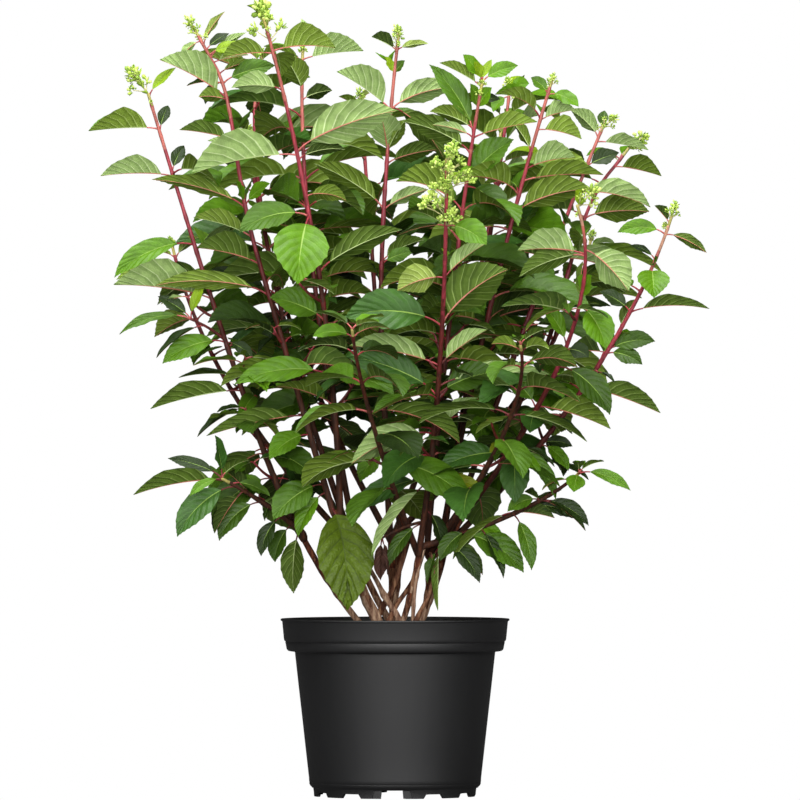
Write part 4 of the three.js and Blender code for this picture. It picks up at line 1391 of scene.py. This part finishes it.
def grow_shoot(index, entry):
    name, limb, side, mid, tip, phase, turn_, reach, bud = entry
    rng = np.random.default_rng(7000 + 37 * index)
    g = Grown(name)
    c = shoot_curve(limb, side, mid, tip)
    if name == "left_back_outer":
        c = c.cut(0.84)
    if name in BOWS:
        c = c.bow(*BOWS[name])
    L = LIMBS[limb]
    leafy = c.length * (1 - LEAFY_FROM.get(name, 0.24))
    nodes, below, k = [], PAIR_FIRST, 0
    if name == "front_centre":
        below = c.length - c.nearest(*FRONT_HEAD[0]) + 8.0
    inner = name in INNER
    while below < leafy:
        nodes.append(c.length - below)
        below += PAIR_STEP[min(k, len(PAIR_STEP) - 1)] * rng.uniform(0.9, 1.1) * (0.8 if inner else 1.0)
        k += 1
    lc = limb_curve(L)
    start = lc.at(lc.length - 9.0)
    # painted shade: stems of shoots at the back, and of the low front shoots under the crown, take the darker bands of
    # older wood
    painted_depth_shade = 60.0 * (1.0 if mid[1] > 60 else 0.0)
    if name in ("front_left", "front_right", "left_low", "right_low"):
        painted_depth_shade += 150.0
    stem_of_shoot(g, c, nodes, start, 3.9, 1.75, rng, painted_depth_shade - YOUNG_WOOD.get(name, (0, 0))[0], YOUNG_WOOD.get(name, (0, 0))[1])
    taken = []
    for p in POSED.get(name, []):
        s = c.nearest(*p[0])
        taken.append((s, pose(g, c.at(s), p, rng)))
    for owner, at, end, depth, mat, held_leaves in POSED_TWIGS:
        if owner != name:
            continue
        s = c.nearest(*at)
        foot = c.at(s)
        tip_at = place(end[0], end[1], foot[1] + depth)
        tc = Curve(foot, (foot + tip_at) / 2 + Z * 2.5, tip_at, 60)
        v, f, row, col = tube(tc.at(np.linspace(0, tc.length, 9)) * MM, np.linspace(2.0, 1.3, 9) * MM, 8, relief=waves(rng, 3, 2, 80.0, 0.06))
        g.stems.add(v, f, mat)
        for p in held_leaves:
            pose(g, tc.at(tc.nearest(*p[0])), p, rng)
        taken.append((s, 180.0 if end[0] < at[0] else 0.0))
    open_front = (min(t[0] for t in taken) - 12, max(t[0] for t in taken) + 12) if len(taken) > 4 else (0, 0)
    for k, s in enumerate(nodes):
        foot = c.at(s)
        z = foot[2]
        share = PAIR_SHARE[min(k, len(PAIR_SHARE) - 1)]
        base_az = phase + turn_ * k + rng.normal(0, 7)
        for q in (0, 180):
            az = base_az + q + rng.normal(0, 8)
            ahead = (az - 270 + 180) % 360 - 180
            if z > 480 and abs(ahead) < 24:
                az += 34 if ahead > 0 else -34
            if any(abs(s - ts) < 24 and abs((az - ta + 180) % 360 - 180) < 62 for ts, ta in taken):
                rng.normal(0, 1, 6)
                continue
            if z > 520 and open_front[0] < s < open_front[1] and abs(math.cos(math.radians(az))) > 0.66:
                continue
            young = k <= 1
            rr = reach * share * rng.uniform(1.08, 1.32) * (1.06 if inner else 1.0)
            rise = by_height(z, [-20, -8, 8, 16, 20, 26]) + (14 if k == 0 else 6 if k == 1 else 0) + rng.normal(0, 8)
            bend = by_height(z, [36, 44, 46, 44, 40, 34]) + rng.normal(0, 9)
            fold = by_height(z, [14, 20, 30, 42, 50, 50]) + rng.normal(0, 9)
            sway = rng.normal(0, 14)
            ratio = rng.uniform(0.5, 0.6) * (0.85 if young else 1)
            held = settle(foot, az, rr, rise, max(bend, 12), sway, ratio)
            if held is None:
                g.dropped += 1
                continue
            az, rr, rise = held
            # inner shoots take the tints of leaves 110 mm lower, which are darker: painted shade for the crown's
            # interior
            leaf(g.leaves, g.stalks, foot, az, rr, rise, max(bend, 12), tint_for(rng, k if bud else k + 2, z - (110 if inner and k > 1 else 0)), fold=max(fold, 4), curl=rng.uniform(18, 36),
                 roll=rng.normal(0, 24), twist=rng.normal(0, 18), ratio=ratio,
                 wave=rng.uniform(0.4, 2.2) * share, sway=sway, rng=rng, pink=rng.uniform(),
                 shape=BIG if rr > 50 else SMALL, stalk_mat=int(rng.choice([0, 1], p=[0.6, 0.4])) if z > 520 else int(rng.choice([0, 1, 3])) if z > 360 else int(rng.choice([1, 3])),
                 stalk_r=0.8 + 0.45 * min(share, 1.0))
            g.count += 1
            if k > 1 and rng.uniform() < 0.75:
                bud_in_axil(g, foot, az, rng)
        # short side shoots lower down
        if k >= 3 and z < 560 and rng.uniform() < 0.55:
            az = base_az + (0 if rng.uniform() < 0.5 else 180) + rng.normal(0, 20)
            twig(g, foot, az, rng.uniform(22, 44), rng.uniform(18, 48), int(rng.integers(1, 3)), reach * 0.72, rng)
    way = c.way(c.length)
    if name == "front_centre":
        open_head(g, c, rng)
    elif bud:
        down, long_, lean = HEADS.get(name, (3, 0.85 * bud, unit(way + Z * 0.35)))
        flower_buds(g, c.at(c.length - down), unit(lean), long_, rng, 0.3 + 0.018 * long_)
        for q in range(2):  # small heads in the axils just below
            at = c.at(c.length - PAIR_FIRST - 2)
            az = phase + 90 + 180 * q + rng.normal(0, 20)
            d = np.array([math.cos(math.radians(az)), math.sin(math.radians(az)), 0.9])
            if rng.uniform() < 0.6:
                ln = rng.uniform(6, 11)
                end = at + unit(d) * ln
                stalklet(g, [at, (at + end) / 2, end], 0.7, 0.6)
                spray(g, end, d + Z * 0.4, rng.uniform(2.6, 3.8), 13, rng)
    else:
        for q in range(3):
            leaf(g.leaves, g.stalks, c.at(c.length), phase + 120 * q + rng.normal(0, 20), reach * rng.uniform(0.35, 0.55),
                 rng.uniform(5, 45), 35, choose(rng, ["fresh", "mid", "deep"], [1, 2, 2]), fold=30, ratio=0.54, shape=SMALL, rng=rng, stalk_r=0.9)
    return g, c


grown = []
curves = {}
for i, entry in enumerate(SHOOTS):
    g, c = grow_shoot(i, entry)
    grown.append(g)
    curves[entry[0]] = c

# ------------------------------------------------------------------ limbs

limb_pile = Pile()
for i, (name, L) in enumerate(LIMBS.items()):
    rng = np.random.default_rng(300 + i)
    c = limb_curve(L)
    n = int(c.length / 2.4)
    s = np.linspace(-3.0, c.length, n)
    pts = np.where(s[:, None] < 0, c.at(0.0) + s[:, None] * Z, c.at(s))
    r = (L["r0"] + (L["r1"] - L["r0"]) * np.clip(s / c.length, 0, 1)) * (0.58 + 0.14 * np.clip(s / 90.0, 0, 1))
    r = r + 1.2 * np.exp(-np.clip(s, 0, 99) / 7.0) * 0.6  # a slight flare at the compost
    for q in rng.uniform(18, c.length - 10, 3):
        r = r + rng.uniform(0.4, 0.9) * np.exp(-(((s - q) / 5.0) ** 2))
    rel_a = waves(rng, 7, 7, 90.0, 0.085)
    rel_b = waves(rng, 6, 12, 260.0, 0.05)
    flake = rng.normal(0, 1, (n, 18))

    def relief(ang, length):
        return rel_a(ang, length) * rel_b(ang, length)

    v, f, row, col = tube(pts * MM, r * MM, 18, relief=relief)
    # young maroon bark above, peeling to brown and tan strips towards the foot
    along = np.clip(s[row] / c.length, 0, 1)
    peel = flake[row // 11, col // 2] * 0.13
    ring_ = along + peel + L.get("age", 0.0)
    limb_pile.add(v, f, np.where(ring_ > 0.66, 1, np.where(ring_ > 0.34, 0, 2)))

for i, (points, front, back, r0, r1, mat) in enumerate(OLD_STEMS):
    rng = np.random.default_rng(640 + i)
    pts = np.array([place(x, y, front + (back - front) * k / (len(points) - 1)) for k, (x, y) in enumerate(points)])
    at = np.concatenate([[0], np.cumsum(np.linalg.norm(np.diff(pts, axis=0), axis=1))])
    s = np.linspace(0, at[-1], max(int(at[-1] / 3.0), 8))
    line = np.stack([np.interp(s, at, pts[:, k]) for k in range(3)], -1)
    line = np.stack([np.convolve(np.pad(line[:, k], 3, mode="reflect", reflect_type="odd"), np.ones(7) / 7.0, mode="valid") for k in range(3)], -1)
    r = np.linspace(r0, r1, len(s))
    for q in rng.uniform(6, at[-1] - 4, 2):
        r = r + rng.uniform(0.3, 0.8) * np.exp(-(((s - q) / 4.0) ** 2))
    v, f, row, col = tube(line * MM, r * MM, 10, relief=waves(rng, 5, 5, 160.0, 0.08))
    limb_pile.add(v, f, mat)

# ------------------------------------------------------------------ gather the plant's pieces


def joined(kind):
    out = Pile()
    for g in grown:
        p = getattr(g, kind)
        if p.v:
            out.add(np.concatenate(p.v), np.concatenate(p.f), np.concatenate(p.m))
    return out


leaf_groups = []
now, size = [], 0
for g in grown:
    t = g.leaves.triangles()
    if size + t > 185000 and now:
        leaf_groups.append(now)
        now, size = [], 0
    now.append(g)
    size += t
leaf_groups.append(now)

total = 0
for n, group in enumerate(leaf_groups):
    pile = Pile()
    for g in group:
        pile.add(np.concatenate(g.leaves.v), np.concatenate(g.leaves.f), np.concatenate(g.leaves.m))
    ob = build(f"leaves_{n + 1}", pile, LEAF_MATS, sharp=62)
    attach(ob, "root")
    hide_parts(*["foliage_" + g.name for g in group])
    pile.triangles()

for kind, name, mats, slot_name in (
    ("stalks", "leaf_stalks", PETIOLE_MATS, "young_stem"),
    ("stems", "shoots", STEM_MATS, "young_stem"),
    ("buds", "flower_heads", BUD_MATS, "flower_bud"),
):
    pile = joined(kind)
    ob = build(name, pile, mats)
    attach(ob, "root")
    if kind == "stems":
        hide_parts(*["shoot_" + g.name for g in grown])
    pile.triangles()

limbs = build("limbs", limb_pile, BARKS)
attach(limbs, "root")
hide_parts(*["limb_" + n for n in LIMBS])
limb_pile.triangles()

# ------------------------------------------------------------------ container

NOTCH_FIRST, NOTCH_COUNT = -92.0, 12
FOOT_R = 93.9


def pot_piece():
    outer = [
        (89.9, 10.6), (89.9, 1.0), (90.5, 0.0), (91.9, 0.0), (92.1, 0.0), (93.3, 0.0), (93.9, 0.7), (94.3, 9.6), (94.9, 10.6), (96.4, 12.0),
        (97.2, 13.6), (97.45, 14.9), (97.0, 15.5), (97.5, 16.2), (97.7, 20.4), (101.6, 55.0), (105.5, 90.0), (109.5, 125.0),
        (113.5, 161.2), (113.7, 163.0), (114.6, 163.9), (118.6, 164.0), (120.9, 164.4), (122.4, 165.5), (123.2, 167.2),
        (123.6, 169.4), (124.6, 174.3), (124.3, 175.0), (125.2, 175.7), (125.9, 176.6), (126.3, 179.0), (128.1, 197.4),
        (128.4, 198.3), (129.3, 198.55), (129.9, 199.1), (130.0, 199.9), (129.7, 200.7), (129.0, 201.0),
        (127.2, 201.0), (126.5, 200.7), (126.2, 199.9), (125.6, 194.0), (123.9, 177.4), (123.4, 176.2), (121.0, 167.6),
        (119.6, 166.2), (117.4, 165.8), (112.6, 165.8), (111.9, 164.6), (95.6, 20.4), (95.0, 15.4), (93.6, 13.4), (91.4, 13.0),
    ]
    outer = np.array(outer)
    under = [(r, 10.6) for r in (0.0, 30.0, 51.0, 65.0, 80.0, 87.0)]
    inner = [(r, 13.0) for r in (85.0, 65.0, 51.0, 30.0, 0.0)]
    profile = np.array(under + [tuple(p) for p in outer] + inner)
    angles = set(np.round(np.arange(0, 360, 2.0), 3))
    steps = []  # middle, height, half width at the top and at the foot: outer layer, inner layer
    for k in range(NOTCH_COUNT):
        mid = (NOTCH_FIRST + 30.0 * k) % 360
        deep = k % 3 == 0
        steps.append((mid, 9.4 if deep else 4.8, (12.5, 14.4) if deep else (5.9, 7.7), (7.4, 7.9) if deep else (5.9, 7.7)))
    for mid, _, outer_w, inner_w in steps:
        for lo_, hi_ in (outer_w, inner_w):
            for off in (lo_, lo_ + (hi_ - lo_) * 0.5, hi_):
                angles |= {round((mid + off) % 360, 3), round((mid - off) % 360, 3)}
    angles = np.array(sorted(angles))
    keep = np.concatenate([[True], np.diff(angles) > 0.12])
    angles = angles[keep]
    cut = np.zeros((2, len(angles)))
    for mid, h, outer_w, inner_w in steps:
        gap = np.abs((angles - mid + 180) % 360 - 180)
        for layer, (lo_, hi_) in enumerate((inner_w, outer_w)):
            cut[layer] = np.maximum(cut[layer], h * np.clip((hi_ + 0.02 - gap) / (hi_ - lo_ + 0.02), 0, 1))
    na, npnt = len(angles), len(profile)
    rad = np.radians(angles)
    r = np.repeat(profile[:, 0][None, :], na, 0)
    z = np.repeat(profile[:, 1][None, :], na, 0)
    lift = np.where(r > 92.0, cut[1][:, None], cut[0][:, None])
    z = np.where((z < 10.0) & (z < lift) & (r > 89.0) & (r < 94.2), lift + (z > 0.3) * 0.25, z)
    v = np.stack([r * np.cos(rad)[:, None], r * np.sin(rad)[:, None], z], -1)
    # the two ends lie on the axis: one vertex each
    body = v[:, 1:-1].reshape(-1, 3)
    m = npnt - 2
    f = []
    i = np.arange(na)[:, None]
    j = np.arange(m - 1)[None, :]
    a = (i * m + j).ravel()
    b = (((i + 1) % na) * m + j).ravel()
    quads = np.stack([a, b, b + 1, a + 1], -1)
    bottom, top = len(body), len(body) + 1
    ii = np.arange(na)
    fan_b = np.stack([np.full(na, bottom), ((ii + 1) % na) * m, ii * m, np.full(na, -1)], -1)
    fan_t = np.stack([np.full(na, top), ii * m + m - 1, ((ii + 1) % na) * m + m - 1, np.full(na, -1)], -1)
    p = Pile()
    verts = np.vstack([body, [0, 0, 10.6], [0, 0, 13.0]])
    p.add(verts * MM, np.vstack([quads, fan_b, fan_t]), 0)
    ob = build("container", p, [], smooth=True)
    # drain holes
    cutters = Pile()
    for k in range(8):
        an = 2 * math.pi * (k + 0.5) / 8
        pts = np.array([[58 * math.cos(an), 58 * math.sin(an), 8.0], [58 * math.cos(an), 58 * math.sin(an), 15.6]]) * MM
        vv, ff, _, _ = tube(pts, np.array([7.0, 7.0]) * MM, 24, round_end=False)
        cutters.add(vv, ff, 0)
    knife = build("container_knife", cutters, [], smooth=False)
    mod = ob.modifiers.new("holes", "BOOLEAN")
    mod.operation = "DIFFERENCE"
    mod.solver = "EXACT"
    mod.object = knife
    dg = bpy.context.evaluated_depsgraph_get()
    done = bpy.data.meshes.new_from_object(ob.evaluated_get(dg))
    ob.modifiers.clear()
    ob.data = done
    bpy.data.objects.remove(knife)
    done.materials.clear()
    return ob


def pot_skin():
    """Satin black polypropylene: fine moulded grain, faint scuffs and dust."""
    m, nt, b = material("pot_plastic", "#0f0f10", 0.55, 0.6)
    at = coords(nt)
    cloud = noise(nt, at, 22.0, 4.0, 0.6)
    dusty = noise(nt, scaled(nt, at, (60.0, 60.0, 14.0)), 1.0, 5.0, 0.65)
    colour = ramp(nt, dusty, [(0.35, "#0e0e0f"), (0.6, "#0f0f10"), (0.8, "#141415")])
    nt.links.new(colour, b.inputs["Base Color"])
    rr = node(nt, "ShaderNodeMapRange")
    rr.inputs["To Min"].default_value = 0.5
    rr.inputs["To Max"].default_value = 0.6
    nt.links.new(cloud, rr.inputs["Value"])
    nt.links.new(rr.outputs["Result"], b.inputs["Roughness"])
    grain = noise(nt, at, 1500.0, 2.0)
    first = bump(nt, b, grain, 0.12, 0.0003)
    bump(nt, b, noise(nt, scaled(nt, at, (40.0, 40.0, 8.0)), 1.0, 2.0), 0.08, 0.002, under=first)
    return m


pot = pot_piece()
pot.data.materials.append(pot_skin())
for poly in pot.data.polygons:
    poly.material_index = 0
pot.data.polygons.foreach_set("use_smooth", np.full(len(pot.data.polygons), True))
bpy.context.view_layer.objects.active = pot
pot.data.set_sharp_from_angle(angle=math.radians(38))
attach(pot, "root")
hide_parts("pot")

# ------------------------------------------------------------------ compost


def soil_skin(name, dark, mid, light):
    m, nt, b = material(name, mid, 0.93, 0.15)
    at = coords(nt)
    colour = ramp(nt, noise(nt, at, 160.0, 5.0, 0.7), [(0.35, dark), (0.52, mid), (0.7, light)])
    nt.links.new(colour, b.inputs["Base Color"])
    bump(nt, b, noise(nt, at, 700.0, 4.0, 0.7), 0.8, 0.0012)
    return m


def lumps(x, y, seed):
    rng = np.random.default_rng(seed)
    out = np.zeros_like(x)
    for k, amp in ((40.0, 1.2), (90.0, 0.9), (190.0, 0.8), (380.0, 0.5)):
        for _ in range(9):
            a = rng.uniform(0, 2 * np.pi)
            ph = rng.uniform(0, 2 * np.pi)
            kk = k * rng.uniform(0.7, 1.3)
            out += amp / 3.0 * np.sin(kk * (x * np.cos(a) + y * np.sin(a)) * MM + ph)
    return out


def compost_piece():
    p = Pile()
    na = 150
    edge = 120.0
    radii = np.concatenate([np.linspace(1.5, edge, 66)])
    ang = 2 * np.pi * np.arange(na) / na
    rr, aa = np.meshgrid(radii, ang, indexing="ij")
    x, y = rr * np.cos(aa), rr * np.sin(aa)
    z = 179.3 + lumps(x, y, 5) * np.clip((edge - rr) / 12.0 + 0.25, 0, 1) - 1.6 * np.clip((rr - 84) / 36.0, 0, 1)
    side = [(119.0, 176.0), (117.0, 166.6), (111.0, 165.6), (94.6, 20.8), (92.2, 14.0)]
    rings = [np.stack([x, y, z], -1)]
    for r_, z_ in side:
        rings.append(np.stack([r_ * np.cos(ang), r_ * np.sin(ang), np.full(na, z_)], -1)[None])
    grid = np.concatenate(rings, 0)
    nr = grid.shape[0]
    v = grid.reshape(-1, 3)
    i = np.arange(nr - 1)[:, None]
    j = np.arange(na)[None, :]
    a = (i * na + j).ravel()
    b = (i * na + (j + 1) % na).ravel()
    quads = np.stack([a, a + na, b + na, b], -1)
    top, low = len(v), len(v) + 1
    js = np.arange(na)
    fan = np.stack([np.full(na, top), js, (js + 1) % na, np.full(na, -1)], -1)
    last = (nr - 1) * na
    fan2 = np.stack([np.full(na, low), last + (js + 1) % na, last + js, np.full(na, -1)], -1)
    v = np.vstack([v, [0, 0, 179.3], [0, 0, 13.8]])
    p.add(v * MM, np.vstack([quads, fan, fan2]), 0)
    rng = np.random.default_rng(88)
    for _ in range(620):
        r_ = edge * math.sqrt(rng.uniform(0.0, 0.93))
        a_ = rng.uniform(0, 2 * np.pi)
        s = rng.uniform(1.0, 3.4) * (1.35 if rng.uniform() < 0.12 else 1)
        vv = BALL_V * np.array([s * rng.uniform(0.7, 1.7), s, s * rng.uniform(0.45, 0.8)]) * rng.uniform(0.8, 1.2, (len(BALL_V), 1))
        q1, q2, q3 = basis(np.array([rng.normal(0, 0.4), rng.normal(0, 0.4), 1.0]))
        c, s_ = math.cos(a_ * 3.1), math.sin(a_ * 3.1)
        vv = vv[:, :1] * (q1 * c + q2 * s_) + vv[:, 1:2] * (-q1 * s_ + q2 * c) + vv[:, 2:] * q3
        zz = 179.6 - 1.6 * max(0, (r_ - 84) / 36.0)
        vv = vv + np.array([r_ * math.cos(a_), r_ * math.sin(a_), zz])
        p.add(vv * MM, BALL_F, int(rng.choice([0, 1, 2], p=[0.62, 0.28, 0.1])))
    ob = build("compost_bed", p, [
        soil_skin("compost_dark", "#17100b", "#2a1d14", "#3f2e21"),
        soil_skin("compost_bark", "#2c1c11", "#4a3120", "#6a4a33"),
        soil_skin("compost_fibre", "#4d3a28", "#75593e", "#977a58"),
    ])
    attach(ob, "root")
    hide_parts("compost")
    p.triangles()


compost_piece()

# ------------------------------------------------------------------ floor and light

floor_mesh = bpy.data.meshes.new("floor")
R = 14.0
floor_mesh.from_pydata([(-R, -R, 0), (R, -R, 0), (R, R, 0), (-R, R, 0)], [], [(0, 1, 2, 3)])
floor = bpy.data.objects.new("floor", floor_mesh)
bpy.context.scene.collection.objects.link(floor)
fm, fnt, fb = material("floor_white", (0.08, 0.08, 0.08, 1), 0.9, 0.0)
fb.inputs["Emission Color"].default_value = (1, 1, 1, 1)
fb.inputs["Emission Strength"].default_value = 0.01
white = node(fnt, "ShaderNodeEmission", Strength=1.0)
blend_ = node(fnt, "ShaderNodeMixShader")
both = node(fnt, "ShaderNodeLightPath")
fnt.links.new(both.outputs["Is Camera Ray"], blend_.inputs["Fac"])
fnt.links.new(fb.outputs["BSDF"], blend_.inputs[1])
fnt.links.new(white.outputs["Emission"], blend_.inputs[2])
fnt.links.new(blend_.outputs["Shader"], fnt.nodes["Material Output"].inputs["Surface"])
floor_mesh.materials.append(fm)

world = bpy.data.worlds.new("studio")
bpy.context.scene.world = world
world.use_nodes = True
wnt = world.node_tree
for n_ in list(wnt.nodes):
    wnt.nodes.remove(n_)
out_ = wnt.nodes.new("ShaderNodeOutputWorld")
sky = wnt.nodes.new("ShaderNodeBackground")
sky.inputs["Color"].default_value = (1, 1, 1, 1)
sky.inputs["Strength"].default_value = 1.0
lit = wnt.nodes.new("ShaderNodeBackground")
lit.inputs["Color"].default_value = (1, 1, 1, 1)
lit.inputs["Strength"].default_value = 0.035
mix_ = wnt.nodes.new("ShaderNodeMixShader")
path_ = wnt.nodes.new("ShaderNodeLightPath")
wnt.links.new(path_.outputs["Is Camera Ray"], mix_.inputs["Fac"])
wnt.links.new(lit.outputs["Background"], mix_.inputs[1])
wnt.links.new(sky.outputs["Background"], mix_.inputs[2])
wnt.links.new(mix_.outputs["Shader"], out_.inputs["Surface"])


def area(name, at, aim, size, power, mirrored=True):
    d = bpy.data.lights.new(name, "AREA")
    d.shape = "RECTANGLE"
    d.size, d.size_y = size
    d.energy = power
    o = bpy.data.objects.new(name, d)
    bpy.context.scene.collection.objects.link(o)
    o.location = at
    o.rotation_mode = "QUATERNION"
    o.rotation_quaternion = (Vector(aim) - Vector(at)).to_track_quat("-Z", "Y")
    o.visible_glossy = mirrored
    return o


area("front", (0.15, -4.0, 1.7), (0, 0, 0.5), (5.2, 1.6), 190)
area("top", (-0.25, -0.8, 3.2), (0, 0, 0.5), (1.8, 1.6), 132)
area("back_left", (-2.4, 3.4, 1.9), (0, 0, 0.6), (1.8, 1.6), 120, mirrored=False)
area("back_right", (2.4, 3.4, 1.9), (0, 0, 0.6), (1.8, 1.6), 120, mirrored=False)
area("bounce", (0.0, -1.9, 0.03), (0, -0.1, 0.7), (5.4, 1.2), 50)

bpy.context.scene.view_settings.view_transform = "Standard"
bpy.context.scene.view_settings.look = "None"
